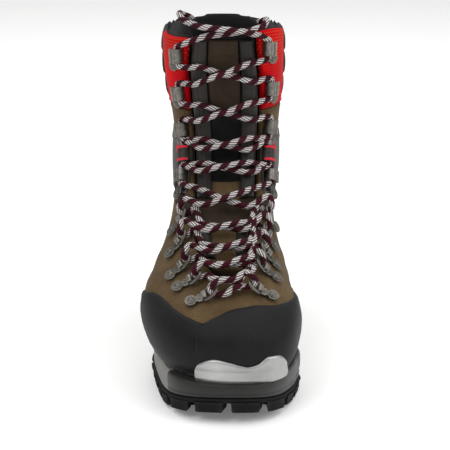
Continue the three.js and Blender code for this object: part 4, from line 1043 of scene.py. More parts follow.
def makeShaft():
    quarter = shaftDims["quarterTop"]
    hem = lambda lv, t, u, v, w, h: groove(h - v - 2.5, 0.8, 0.2) + 0.2 * np.sin(t * 19 + lv * 8)
    leather = panel("shaftLeather", "nubuck", wrapped(shaftLow, level(quarter)), leatherOut, leatherIn, edges="lrbt",
                    radius=1.2, spacing=2.6, relief=hem)
    onShaft(leather, "nubuck_leather", "shaft_leather")
    edge = shaftDims["panelEdge"]

    def panelPlace(u, v):
        # the front corners are rounded off below, round the ankle rivets
        turn = mix(edge - 0.028, 2 - edge + 0.028, u)
        near = np.minimum(turn, 2 - turn) - edge + 0.028
        lowEdge = shaftLow(wrapTurn(turn)) + 0.008 + 0.11 * np.maximum(0, 1 - near / 0.035) ** 2
        return mix(lowEdge, np.full_like(turn, shaftDims["panelTop"]), v), turn

    def quilt(lv, t, u, v, w, h):
        back = np.exp(-((np.abs(wrapTurn(t)) - 1) / 0.2) ** 2)
        return 0.5 * np.sin(np.pi * np.clip(v / h, 0, 1)) + 0.25 * np.sin(t * 31) - 0.2 * back

    ankle = panel("anklePanel", "ankleCloth", panelPlace, overlayOut, overlayIn, edges="lrbt", radius=1.3,
                  spacing=2.4, relief=quilt)
    onShaft(ankle, "ankle_fabric", "ankle_panel")
    for sign, side in ((-1, "Lateral"), (1, "Medial")):

        def wingPlace(u, v):
            # a rubbery tab round the panel's lower front corner, rising towards the front
            turn = mix(edge - 0.022, edge + 0.11, u)
            lowEdge = shaftLow(turn) + 0.012 + 0.1 * np.maximum(0, 1 - (turn - edge + 0.022) / 0.035) ** 2
            topEdge = lowEdge + mix(0.2, 0.045, ease(u * 1.3))
            return mix(lowEdge, topEdge, v), sign * turn

        wing = panel("ankleWing" + side, "soleRubber", wingPlace, overlayOut + 0.75, overlayOut - 0.3, edges="lrbt",
                     radius=1.0, spacing=1.4)
        onShaft(wing, "sole_rubber")

        def stripePlace(u, v):
            return mix(1.255, 1.335, v), sign * (mix(0.262, 0.275, u) + 0.02 * (1 - v))

        stripe = panel("ankleStripe" + side, "redTape", stripePlace, overlayOut + 0.85, overlayOut - 0.3,
                       edges="lrbt", radius=0.5, spacing=1.0)
        onShaft(stripe, "red_fabric")
    low = level(quarter + levelGap)
    back = shaftDims["cuffBack"]
    for side, start, stop in (("Medial", 0.0, back - 0.001), ("Lateral", 2 - back + 0.001, 2.0)):
        plump = lambda lv, t, u, v, w, h: 0.9 * np.sin(np.pi * np.clip(v / h, 0, 1)) ** 0.6 - 0.3
        cuff = panel("cuff" + side, "redCloth", wrapped(low, cuffTop, start, stop), cuffOut, leatherIn,
                     edges="lrbt", radius=2.2, spacing=2.2, relief=plump)
        onShaft(cuff, "red_fabric", "cuff_panel_" + side.lower())

    def channels(lv, t, u, v, w, h):
        # soft sewn channels round the back of the collar
        swell = np.abs(np.sin(np.pi * v / h * 3)) ** 0.5
        return 1.4 * swell - 0.8

    # its top corners are rounded off in front
    collarTop = lambda t: cuffTop(t) + 0.012 - 0.09 * np.maximum(0, 1 - (np.abs(wrapTurn(t)) - back) / 0.05) ** 2
    collar = panel("collarRear", "collarCloth", wrapped(low, collarTop, back + 0.001, 2 - back - 0.001),
                   collarOut, leatherIn + padDims["swell"], edges="lrbt", radius=3.0, spacing=3.0, relief=channels)
    puffed(collar, 3.0, padDims["swell"], seams=(1 / 3, 2 / 3))
    onShaft(collar, "black_fabric", "collar_rear")

    def pad(lv, t):
        return liningIn - shaftDims["collarPad"] * ease((lv - 1.6) / 0.15) * ease((2.06 - lv) / 0.1)

    # the lining's soft pad rolls up to the cuff's edge
    place = wrapped(shaftLow, lambda t: cuffTop(t) + 0.008)
    lining = panel("shaftLining", "liningCloth", place, liningOut - padDims["swell"], pad, edges="t",
                   radius=3.0, spacing=3.6)
    puffed(lining, 2.0, padDims["swell"])
    onShaft(lining, "lining_fabric", "lining_shaft")


def makeGusset():
    def place(u, v):
        turn = mix(-1, 1, u)
        return mix(footTop(turn) + 0.002, shaftLow(turn) - levelGap, v), turn

    def folds(lv, t, u, v, w, h):
        return -0.8 * np.abs(np.sin(np.pi * v / h * 2)) + 0.1

    gusset = panel("flexGusset", "tongueLeather", place, leatherOut, liningIn, edges="", spacing=1.2, closed=True,
                   relief=folds, size=(420, 9))
    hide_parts("flex_gusset")
    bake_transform(gusset)


makeShaft()
makeGusset()
print("shaft made")

# tongue
tongueClear = 0.012


def tongueTop(turn):
    return 2.165 - 0.075 * (np.abs(turn) / 0.12) ** 3


def tongueStretch(start, stop, low, high, clear=tongueClear, flare=0.0):
    # start and stop are shares of the tongue's half width, which flares above the cuff
    def place(u, v):
        share = mix(start, stop, u)
        lv = mix(low(share), high(share), v)
        return lv, (throatTurn(lv) - clear + flare * ease((lv - 1.99) / 0.07)) * share

    return place


def makeTongue():
    inside = liningIn + 1
    foot = panel("tongueFoot", "nubuck", tongueStretch(-1, 1, level(0.7), lambda s: footTop(0.16 * s)),
                 leatherOut, inside, edges="lrb", radius=1.5, spacing=2.0,
                 relief=lambda lv, t, u, v, w, h: 0.5 * np.cos(t * 30) + 0.15 * np.sin(lv * 60 + t * 12))
    onFoot(foot, "nubuck_leather", "tongue_foot")
    top = lambda s: tongueTop(0.12 * s)
    plump = lambda lv, t, u, v, w, h: 0.6 * ease((lv - 1.9) / 0.2) + 0.3 * np.cos(t * 18)
    body = panel("tongueShaft", "blackCloth", tongueStretch(-1, 1, lambda s: shaftLow(0.16 * s), top, flare=0.035),
                 leatherOut - padDims["tongueRoom"],
                 inside, edges="lrt", radius=3.2, spacing=2.4, relief=plump)
    puffed(body, 3.0, padDims["swell"], around=False)
    # the foot of it is covered in leather
    body.data.materials.append(looks["nubuck"])
    leatherTop = 136 * mm
    mesh = bmesh.new()
    mesh.from_mesh(body.data)
    parts = mesh.verts[:] + mesh.edges[:] + mesh.faces[:]
    bmesh.ops.bisect_plane(mesh, geom=parts, plane_co=(0, 0, leatherTop), plane_no=(0, 0, 1))
    for face in mesh.faces:
        face.material_index = int(face.calc_center_median().z < leatherTop)
    mesh.to_mesh(body.data)
    mesh.free()
    onShaft(body, "black_fabric", "tongue_shaft")
    for sign, side in ((-1, "lateral"), (1, "medial")):
        start, stop = (-0.92, -0.4) if sign < 0 else (0.4, 0.92)
        rib = lambda lv, t, u, v, w, h: (3.2 * np.sin(np.pi * np.clip(u / w, 0, 1)) ** 0.8
                                         + groove(u - w * 0.5, 0.7, 0.5) - 0.6)
        foot = panel("tongueStripFoot" + side.title(), "stripSuede",
                     tongueStretch(start, stop, level(0.75), lambda s: footTop(0.12 * s)), overlayIn + 1,
                     overlayIn - 0.5,
                     edges="lrbt", radius=0.9, spacing=1.4, relief=rib)
        onFoot(foot, "strip_fabric", "tongue_strip_foot_" + side)
        shaft = panel("tongueStripShaft" + side.title(), "stripSuede",
                      tongueStretch(start, stop, lambda s: shaftLow(0.12 * s), level(2.0)), overlayIn + 1,
                      overlayIn - 0.5, edges="lrbt", radius=0.9, spacing=1.4, relief=rib)
        onShaft(shaft, "strip_fabric", "tongue_strip_shaft_" + side)

    def arch(lv, t, u, v, w, h):
        # a plain pressed arc near the top
        far = np.hypot((u - w / 2) * 1.0, v - h * 0.35)
        return groove(far - h * 0.42, 1.0, 0.6) * (v > h * 0.35) + 0.25 * np.cos(t * 30)

    patch = panel("tonguePatch", "tongueLeather", tongueStretch(-0.37, 0.37, level(1.56), level(2.0)), overlayOut,
                  overlayIn - 0.5, edges="lrbt", radius=0.9, spacing=1.2, relief=arch)
    onShaft(patch, "nubuck_leather", "tongue_patch")


makeTongue()
print("tongue made")

# inside: footbed


def makeInside():
    turns = np.linspace(-1, 1, 180, endpoint=False)
    ring = offLast(np.full(180, 0.1), turns, liningIn - gap - 3.0)[:, :2]
    centre = ring.mean(0)
    low = lambda y: featherAt(y) + gap + 2.2 + gap

    def at(shrink, rise):
        pts = centre + (ring - centre) * shrink
        return np.column_stack([pts, low(pts[:, 1]) + rise])

    rings = [at(0.99, 0.0), at(1.0, 0.8), at(1.0, 3.2), at(0.985, 3.9), at(0.93, 4.0), at(0.6, 3.8), at(0.2, 3.8)]
    footbed = lofted("footbedFelt", "felt", rings)
    onFoot(footbed, "footbed_felt", "footbed")


makeInside()

# lace hardware: local axes are t to the throat, e along the boot, n outwards
hardware = {"wire": 2.2, "ringLength": 9, "ringWidth": 11, "ringRise": 3.8, "barHeight": 3.1, "clip": 1.1,
            "reach": 9.5, "hookWidth": 8, "hookThickness": 1.2, "hookBase": 0.5}
laceDims = {"cadDiameter": 4.4, "diameter": 4.3, "play": 0.7}
rings = {
    "lateral": [(0.565, -0.05, 0.515, -0.115), (0.635, -0.102, 0.58, -0.155), (0.7, -0.142, 0.635, -0.185),
                (0.82, -0.17, 0.75, -0.21), (0.935, -0.195, 0.865, -0.24)],
    "medial": [(0.595, 0.062, 0.545, 0.125), (0.69, 0.125, 0.62, 0.18), (0.755, 0.17, 0.68, 0.215),
               (0.85, 0.195, 0.775, 0.24), (0.945, 0.215, 0.88, 0.26)],
}
loops = {"lateral": (1.27, -0.2), "medial": (1.27, 0.2)}
cleats = {"lateral": (1.14, -0.21), "medial": (1.14, 0.215)}
hooks = {"lateral": [(1.425, -0.2), (1.66, -0.185), (1.9, -0.165)],
         "medial": [(1.44, 0.2), (1.69, 0.185), (1.945, 0.16)]}


class Spot:

    def __init__(self, level, turn, offset, aim):
        self.level, self.turn = level, turn
        self.n = normalAt(level, turn)
        self.at = offLast(level, turn, offset)
        self.t = unit(aim - self.n * float(aim @ self.n))
        self.e = np.cross(self.n, self.t)
        self.up = 1 if self.e[2] > 0 else -1

    def point(self, a, b, c):
        return self.at + self.t * a + self.e * b + self.n * c

    def place(self, points):
        points = np.asarray(points, float)
        return self.at + points[:, :1] * self.t + points[:, 1:2] * self.e + points[:, 2:3] * self.n


def extruded(profile, axes, low, high, bevel=0.0):
    # a closed outline in two local axes, run along the third, with bevelled rims
    profile = np.asarray(profile, float)
    area = 0.5 * np.sum(profile[:, 0] * np.roll(profile[:, 1], -1) - np.roll(profile[:, 0], -1) * profile[:, 1])
    if area < 0:
        profile = profile[::-1]
    ahead = unit(np.roll(profile, -1, axis=0) - profile)
    behind = np.roll(ahead, 1, axis=0)
    normal = unit(np.column_stack([ahead[:, 1] + behind[:, 1], -(ahead[:, 0] + behind[:, 0])]))
    cells = [(low, bevel), (low + bevel, 0), (high - bevel, 0), (high, bevel)] if bevel else [(low, 0), (high, 0)]
    sections = []
    for place, inset in cells:
        flat = profile - normal * inset
        points = np.zeros((len(flat), 3))
        points[:, axes[0]], points[:, axes[1]], points[:, axes[2]] = flat[:, 0], flat[:, 1], place
        sections.append(points)
    count = len(profile)
    faces = [(r * count + c, r * count + (c + 1) % count, (r + 1) * count + (c + 1) % count, (r + 1) * count + c)
             for r in range(len(sections) - 1) for c in range(count)]
    faces.append(tuple(range(count))[::-1])
    faces.append(tuple(range((len(sections) - 1) * count, len(sections) * count)))
    return np.concatenate(sections), faces


def turned(profile, centre, sides=28):
    # a profile of radius and height, turned about n at a local place
    rings = []
    for radius, height in profile:
        angle = np.linspace(0, 2 * np.pi, sides, endpoint=False)
        rings.append(np.column_stack([centre[0] + radius * np.cos(angle), centre[1] + radius * np.sin(angle),
                                      np.full(sides, centre[2] + height)]))
    verts = np.concatenate(rings)
    faces = [(r * sides + c, r * sides + (c + 1) % sides, (r + 1) * sides + (c + 1) % sides, (r + 1) * sides + c)
             for r in range(len(rings) - 1) for c in range(sides)]
    faces.append(tuple(range(sides))[::-1])
    faces.append(tuple(range((len(rings) - 1) * sides, len(rings) * sides)))
    return verts, faces


def rivetHead(centre, radius):
    return turned([(radius * 0.9, -2.2), (radius, 0.0), (radius, 0.35), (radius * 0.93, 0.62), (radius * 0.8, 0.62),
                   (radius * 0.76, 0.45), (radius * 0.72, 0.75), (radius * 0.55, 1.2), (radius * 0.3, 1.42),
                   (0.05, 1.48)], centre)


def teardrop(round_, waist, end, length):
    # round about the rivet at 0, a waist, and a straight end at length
    angles = np.linspace(math.radians(62), math.radians(298), 18)
    ring = [(round_ * math.cos(a), round_ * math.sin(a)) for a in angles]
    lower = [(length * 0.38, -waist * 1.05), (length * 0.62, -waist), (length * 0.85, -end * 0.9), (length, -end)]
    upper = [(x, -y) for x, y in reversed(lower)]
    return ring + lower + upper


def turnProfile(profile, angle, centre):
    c, s = math.cos(angle), math.sin(angle)
    return [(centre[0] + x * c - y * s, centre[1] + x * s + y * c) for x, y in profile]


def wirePath(points, radius, sides=12):
    points = np.asarray(points, float)
    count = len(points)
    ahead = unit(np.roll(points, -1, axis=0) - np.roll(points, 1, axis=0))
    flat = unit(np.cross(points[3] - points[0], points[6 % count] - points[0]))
    side = unit(np.cross(ahead, flat))
    angle = np.linspace(0, 2 * np.pi, sides, endpoint=False)
    verts = (points[:, None, :] + radius * (np.cos(angle)[None, :, None] * side[:, None, :]
                                            + np.sin(angle)[None, :, None] * flat))
    faces = [(i * sides + k, ((i + 1) % count) * sides + k, ((i + 1) % count) * sides + (k + 1) % sides,
              i * sides + (k + 1) % sides) for i in range(count) for k in range(sides)]
    return verts.reshape(-1, 3), faces


def ringShape():
    half = hardware["ringWidth"] / 2 - hardware["wire"] / 2
    length, rise = hardware["ringLength"], hardware["ringRise"]
    outline = [(0, -half * 0.7), (0, -half * 0.35), (0, 0), (0, half * 0.35), (0, half * 0.7)]
    outline += [(0.35 + 0.9 * (1 - math.cos(a)), half * 0.86 + 0.6 * math.sin(a)) for a in (0.5, 1.1, 1.57)]
    outline += [(length * 0.42, half * 1.0)]
    outline += [(length * (0.42 + 0.58 * math.sin(a)), half * math.cos(a))
                for a in np.linspace(0.18, math.pi - 0.18, 15)]
    outline += [(length * 0.42, -half * 1.0)]
    outline += [(0.35 + 0.9 * (1 - math.cos(a)), -half * 0.86 - 0.6 * math.sin(a)) for a in (1.57, 1.1, 0.5)]
    return [(t, e, hardware["barHeight"] + rise * t / length) for t, e in outline]


def makeClip(name, spot):
    bar, thick = hardware["barHeight"], hardware["clip"]
    inner = hardware["wire"] / 2 + 0.25
    outer = inner + thick
    low = bar - outer * math.sin(0.14 * math.pi) - thick / 2
    angles = np.linspace(-0.86 * math.pi, 0.8 * math.pi, 22)
    roll = [(outer * math.cos(a), bar + outer * math.sin(a)) for a in angles]
    back = [(inner * math.cos(a), bar + inner * math.sin(a)) for a in angles[::-1]]
    section = [(-4.5, low)] + roll + back + [(-outer, low + thick), (-4.5, low + thick)]
    strip = extruded(section, (0, 2, 1), -3.3, 3.3, 0.3)
    drop = [(x - hardware["reach"], y) for x, y in teardrop(4.6, 2.7, 3.3, hardware["reach"] - outer + 0.4)]
    plate = extruded(drop, (0, 1, 2), low - 0.1, low + thick, 0.3)
    head = rivetHead((-hardware["reach"], 0, low + thick), 3.1)
    verts, faces, _ = joined(name, [strip, plate, head])
    return newObject(name, spot.place(verts), faces, "steel", sharp=35)


def makeRing(name, spot):
    verts, faces = wirePath(ringShape(), hardware["wire"] / 2)
    return newObject(name, spot.place(verts), faces, "steel")


def makeHook(name, spot, rivetAt, width, arm, teeth=False):
    base, thick = hardware["hookBase"], hardware["hookThickness"]
    floor = base + thick
    roof = floor + laceDims["cadDiameter"] + 1
    middle, reach = (floor + roof) / 2, (roof - floor) / 2
    angles = np.linspace(-math.pi / 2, math.pi / 2, 14)
    fold = lambda r, extra=0.0: [(1.4 + (r * 0.6 + extra * math.cos(a) ** 6) * math.cos(a), middle + r * math.sin(a))
                                 for a in angles]
    # the roof carries a pressed rib either side of a shallow groove
    ribs = [(1.0, 0.0), (0.3, 0.3), (-0.5, 0.38), (-1.1, 0.1), (-1.7, -0.12), (-2.3, 0.1), (-2.9, 0.36), (-3.6, 0.3),
            (-4.4, -0.1)]
    top = [(x, roof + thick + h) for x, h in ribs]
    under = [(x, roof + min(h, 0.1)) for x, h in reversed(ribs)]
    profile = [(-4.9, base)] + fold(reach + thick) + top + [(-4.9, roof + 0.4)]
    profile = profile + under + fold(reach)[::-1] + [(-4.9, floor)]
    strip = extruded(profile, (0, 2, 1), -width / 2, width / 2, 0.35)
    ra, rb = rivetAt
    long = math.hypot(ra + 2, rb)
    angle = math.atan2(-rb, -2 - ra)
    drop = turnProfile(teardrop(4.3, arm * 0.8, arm, long), angle, (ra, rb))
    plate = extruded(drop, (0, 1, 2), base - 0.3, floor, 0.3)
    head = rivetHead((ra, rb, floor), 3.0)
    parts = [strip, plate, head]
    if teeth:
        for k in (-2.4, 0, 2.4):
            parts.append(extruded([(-4.2, k - 0.5), (-3.0, k - 0.15), (-3.0, k + 0.15), (-4.2, k + 0.5)], (0, 1, 2),
                                  floor - 0.1, floor + 0.6, 0.1))
    verts, faces, _ = joined(name, parts)
    return newObject(name, spot.place(verts), faces, "steel", sharp=35)


def makeLoop(name, spot):
    base = hardware["hookBase"]
    arch, height, thick = laceDims["cadDiameter"] / 2 + 1.6, laceDims["cadDiameter"] + 1.5, 1.3
    angles = np.linspace(0, math.pi, 24)
    bow = lambda grow: [(-(arch + grow) * math.cos(a), base + (height + grow) * math.sin(a) ** 0.7) for a in angles]
    foot = arch + thick + 5
    parts = []
    for half, grow, extra in ((6.0, 0.0, 0.0), ):
        outer, inner = bow(thick), bow(0)
        profile = [(-foot, base - 0.4), (-foot, base + 0.9), (-arch - thick, base + 1.0)] + outer[2:-2]
        profile += [(arch + thick, base + 1.0), (foot - 3, base + 0.9), (foot - 3, base - 0.4)] + inner[::-1]
        parts.append(extruded(profile, (0, 2, 1), -half, half, 0.3))
    verts, faces, _ = joined(name, parts)
    web = newObject(name, spot.place(verts), faces, "stripSuede", sharp=35)
    tapes = []
    for centre in (-4.6, 4.6):
        outer, inner = bow(thick + 0.35), bow(thick - 0.1)
        tapes.append(extruded(outer[2:-2] + inner[2:-2][::-1], (0, 2, 1), centre - 0.9, centre + 0.9, 0.15))
    verts, faces, _ = joined(name, tapes)
    tape = newObject(name + "Tape", spot.place(verts), faces, "redTape", sharp=35)
    return web, tape


def sideAim(at, turn, sign):
    up = onLast(at + 0.05, turn) - onLast(at - 0.05, turn)
    return np.cross(up, normalAt(at, turn)) * -sign


stations = {"lateral": [], "medial": []}
for side, sign in (("lateral", -1), ("medial", 1)):
    for i, (lv, turn, rivetLevel, rivetTurn) in enumerate(rings[side]):
        aim = onLast(lv, turn) - onLast(rivetLevel, rivetTurn)
        spot = Spot(mix(rivetLevel, lv, 0.6), mix(rivetTurn, turn, 0.6), leatherOut, aim)
        number = f"{side}_{i + 1}"
        onFoot(makeClip(f"clip{side.title()}{i + 1}", spot), "hook_metal", "ring_clip_" + number)
        ring = makeRing(f"ring{side.title()}{i + 1}", spot)
        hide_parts("lace_ring_" + number)
        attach(ring, "ring_" + number)
        spot.level, spot.turn = lv, turn
        stations[side].append(("ring", spot))
    place = lambda at, offset: Spot(at[0], at[1], offset, sideAim(at[0], at[1], sign))
    cleat = place(cleats[side], overlayOut)
    onShaft(makeHook(f"cleat{side.title()}", cleat, (-9, -9.5 * cleat.up), 9.4, 3.6, teeth=True), "hook_metal",
            "ankle_cleat_" + side)
    loop = place(loops[side], overlayOut)
    web, tape = makeLoop(f"strapLoop{side.title()}", loop)
    onShaft(web, "black_fabric", "strap_loop_" + side)
    onShaft(tape, "red_fabric")
    stations[side] += [("hook", cleat), ("loop", loop)]
    for i, at in enumerate(hooks[side]):
        spot = place(at, cuffOut if i else leatherOut + 0.6)
        onShaft(makeHook(f"hook{side.title()}{i + 1}", spot, (-7.5, -8.5 * spot.up), 10.4, 3.0), "hook_metal",
                f"lace_hook_{side}_{i + 1}")
        stations[side].append(("hook", spot))
print("hardware made")

# lace


def atStation(kind, spot):
    radius = laceDims["cadDiameter"] / 2
    up = spot.up
    if kind == "ring":
        turnRadius = hardware["wire"] / 2 + radius + laceDims["play"]
        bow = hardware["barHeight"] + hardware["ringRise"]
        length = hardware["ringLength"]
        over = []
        for degrees in (175, 110, 60, 5):
            a = math.radians(degrees)
            drift = mix(1.3, -1.3, degrees / 180) * up
            over.append(spot.point(length - turnRadius * math.sin(a), drift, bow + turnRadius * math.cos(a)))
        arriving = spot.point(length + 6, -3.6 * up, bow - turnRadius + 0.4)
        leaving = spot.point(length + 5, 3.4 * up, bow + turnRadius - 0.6)
        return [arriving] + over + [leaving]
    if kind == "loop":
        route = [(4, -9.4, 1.4), (0.5, -6.3, 0.3), (0, 0, 0), (0.5, 6.3, 0.3), (4, 9.4, 1.4)]
        return [spot.point(t, e * up, hardware["hookBase"] + radius + gap + rise) for t, e, rise in route]
    lane = hardware["hookBase"] + hardware["hookThickness"] + radius + gap
    out = hardware["hookWidth"] / 2 + radius + 0.9
    route = [(4.4, -out - 1.4), (0.2, -out + 1), (-0.9, -2.4), (-0.9, 2.4), (0.2, out - 1.2), (3.4, out + 0.4)]
    return [spot.point(t, e * up, lane) for t, e in route]


def crossing(start, stop, above):
    high = [(0.28, 10.1), (0.43, 11.2), (0.57, 11), (0.7, 8.6)]
    low = [(0.28, 7.4), (0.43, 6.4), (0.57, 6.2), (0.72, 5.7)]
    return [offLast(mix(start.level, stop.level, s), mix(start.turn, stop.turn, s), leatherOut + h)
            for s, h in (high if above else low)]


def laceHalf(first, above):
    other = "medial" if first == "lateral" else "lateral"
    points = []
    for i in range(len(stations["lateral"])):
        here = stations[other if i % 2 else first][i]
        points += atStation(*here)
        if i + 1 < len(stations["lateral"]):
            points += crossing(here[1], stations[first if i % 2 else other][i + 1][1], above == (i % 2 == 0))
    return points


def laceTail(side, above):
    s = -1 if side == "lateral" else 1
    far = -s
    lv = hooks[side][2][0]
    top = 2.07 if above else 2.03
    lift = 9.2 if above else 4.1
    route = [(lv + 0.085, s * 0.12, 5.5), (top, s * 0.05, lift), (top + 0.02, far * 0.01, lift),
             (top + 0.03, far * 0.06, lift - 0.4), (top + 0.055, far * 0.125, 4.6), (top + 0.085, far * 0.165, 0.5),
             (top + 0.065, far * 0.19, -7), (top + 0.01, far * 0.2, -17), (1.92, far * 0.2, -21), (1.75, far * 0.2, -21),
             (1.55, far * 0.2, -18), (1.35, far * 0.21, -15), (1.15, far * 0.22, -13.5), (0.95, far * 0.25, -14),
             (0.75, far * 0.3, -15), (0.5, far * 0.38, -16)]
    down = [offLast(a, t, leatherOut + h) for a, t, h in route]
    end = down[-1]
    rest = gap * 3 + 2.2 + 4 + laceDims["cadDiameter"] / 2 + 0.4
    for dy, dz in ((0, 4), (-14, 0.5), (-34, 0), (-54, 0), (-74, 0)):
        y = end[1] - 8 + dy
        x = (end[0] - originX) * mix(1, 0.72, -dy / 74) - far * 3 + originX
        down.append(np.array([x, y, featherAt(y) + rest + dz]))
    return down


def makeLace():
    halves = []
    for i, side in enumerate(("medial", "lateral")):
        halves.append(laceHalf(side, i == 1) + laceTail("lateral" if side == "medial" else "medial", i == 1))
    bar = crossing(stations["lateral"][0][1], stations["medial"][0][1], False)[1:3]
    points = np.array(halves[1][::-1] + bar + halves[0])
    # a smooth curve through the route, then evenly spaced sections
    fine = []
    for i in range(len(points) - 1):
        p0, p1, p2, p3 = (points[min(max(i + k, 0), len(points) - 1)] for k in (-1, 0, 1, 2))
        for t in np.linspace(0, 1, 8, endpoint=False):
            fine.append(0.5 * (2 * p1 + (p2 - p0) * t + (2 * p0 - 5 * p1 + 4 * p2 - p3) * t * t
                               + (3 * p1 - p0 - 3 * p2 + p3) * t ** 3))
    fine = np.array(fine + [points[-1]])
    for _ in range(2):
        fine[1:-1] = (fine[:-2] + 2 * fine[1:-1] + fine[2:]) / 4
    long = np.concatenate([[0], np.cumsum(np.linalg.norm(np.diff(fine, axis=0), axis=1))])
    count = int(long[-1] / 1.3)
    s = np.linspace(0, long[-1], count)
    path = np.stack([np.interp(s, long, fine[:, k]) for k in range(3)], axis=-1)
    ahead = unit(np.gradient(path, axis=0))
    side = np.zeros_like(path)
    side[0] = unit(np.cross(ahead[0], [0, 0, 1]))
    for i in range(1, count):
        side[i] = unit(side[i - 1] - ahead[i] * float(side[i - 1] @ ahead[i]))
    lift = np.cross(ahead, side)
    sides = 20
    radius = laceDims["diameter"] / 2
    angle = np.linspace(0, 2 * np.pi, sides + 1)
    twist = s[:, None] / 9.0 * 2 * np.pi
    # the braid's strands stand out a little
    wave = radius + 0.1 * np.cos(6 * angle[None, :] + twist) + 0.08 * np.cos(6 * angle[None, :] - twist)
    cone = np.clip(np.minimum(s, s[-1] - s) / 1.6, 0.02, 1)[:, None] ** 0.5
    verts = path[:, None, :] + (wave * cone)[..., None] * (
        np.cos(angle)[None, :, None] * side[:, None, :] + np.sin(angle)[None, :, None] * lift[:, None, :])
    uv = np.stack(np.broadcast_arrays(s[:, None], angle[None, :] / (2 * np.pi)), axis=-1)
    cols = sides + 1
    faces = [(i * cols + k, i * cols + k + 1, (i + 1) * cols + k + 1, (i + 1) * cols + k)
             for i in range(count - 1) for k in range(sides)]
    faces.append(tuple(range(sides))[::-1])
    faces.append(tuple((count - 1) * cols + k for k in range(sides)))
    lace = newObject("laceCord", verts.reshape(-1, 3), faces, "laceBraid", uv.reshape(-1, 2), sharp=60)
    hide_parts("lace")
    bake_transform(lace)
    print(f"lace {long[-1]:.0f} mm long")


makeLace()

# pull loop at the back
webDims = {"width": 16, "bow": 10, "thick": 1.6, "low": 1.5, "high": 1.975}


def makePullLoop():
    share = np.linspace(0, 1, 46)
    lv = mix(webDims["low"], webDims["high"], share)
    bow = webDims["bow"] * ease((share - 0.1) / 0.35) * ease((0.9 - share) / 0.35)
    back = np.ones_like(lv)
    sewn = offLast(lv, back, collarOut(lv, back) + gap + webDims["thick"] / 2 + 0.6 + bow)
    path = sewn[:, 1:]
    ahead = unit(np.gradient(path, axis=0))
    side = np.column_stack([-ahead[:, 1], ahead[:, 0]]) * webDims["thick"] / 2
    outline = np.vstack([path + side, (path - side)[::-1]])
    verts, faces = extruded(outline, (1, 2, 0), -webDims["width"] / 2, webDims["width"] / 2, 0.35)
    verts[:, 0] += sewn[0, 0]
    loop = newObject("pullLoop", verts, faces, "collarCloth", uv=verts[:, [0, 2]])
    onShaft(loop, "black_fabric", "pull_loop")


makePullLoop()

# stitches by Geometry Nodes
stitchDims = {"pitch": 3.0, "length": 2.1, "width": 0.62, "height": 0.5}


def stitchTree():
    tree = bpy.data.node_groups.new("stitchRow", "GeometryNodeTree")
    socketOf(tree, "Geometry", "NodeSocketGeometry", "INPUT")
    for label, value in (("Pitch", 0.003), ("Length", 0.002), ("Width", 0.0006), ("Height", 0.0005)):
        socketOf(tree, label, "NodeSocketFloat", "INPUT", value)
    socketOf(tree, "Thread", "NodeSocketMaterial", "INPUT")
    socketOf(tree, "Geometry", "NodeSocketGeometry", "OUTPUT")
    new = tree.nodes.new
    link = tree.links.new
    entry, end = new("NodeGroupInput"), new("NodeGroupOutput")
    curve, even = new("GeometryNodeMeshToCurve"), new("GeometryNodeResampleCurve")
    even.mode = "LENGTH"
    link(entry.outputs["Geometry"], curve.inputs["Mesh"])
    link(curve.outputs[0], even.inputs["Curve"])
    link(entry.outputs["Pitch"], even.inputs["Length"])
    up = new("GeometryNodeInputNamedAttribute")
    up.data_type = "FLOAT_VECTOR"
    up.inputs["Name"].default_value = "outward"
    tangent = new("GeometryNodeInputTangent")
    first = new("FunctionNodeAlignEulerToVector")
    first.axis = "X"
    link(tangent.outputs[0], first.inputs["Vector"])
    second = new("FunctionNodeAlignEulerToVector")
    second.axis = "Z"
    second.pivot_axis = "X"
    link(first.outputs[0], second.inputs["Rotation"])
    link(up.outputs["Attribute"], second.inputs["Vector"])
    ball = new("GeometryNodeMeshUVSphere")
    ball.inputs["Segments"].default_value = 8
    ball.inputs["Rings"].default_value = 6
    ball.inputs["Radius"].default_value = 0.5
    size = new("ShaderNodeCombineXYZ")
    for index, label in enumerate(("Length", "Width", "Height")):
        link(entry.outputs[label], size.inputs[index])
    place = new("GeometryNodeInstanceOnPoints")
    link(even.outputs[0], place.inputs["Points"])
    link(ball.outputs["Mesh"], place.inputs["Instance"])
    link(second.outputs[0], place.inputs["Rotation"])
    link(size.outputs[0], place.inputs["Scale"])
    real, paint = new("GeometryNodeRealizeInstances"), new("GeometryNodeSetMaterial")
    link(place.outputs[0], real.inputs[0])
    link(real.outputs[0], paint.inputs["Geometry"])
    link(entry.outputs["Thread"], paint.inputs["Material"])
    link(paint.outputs[0], end.inputs[0])
    return tree


stitchRow = stitchTree()


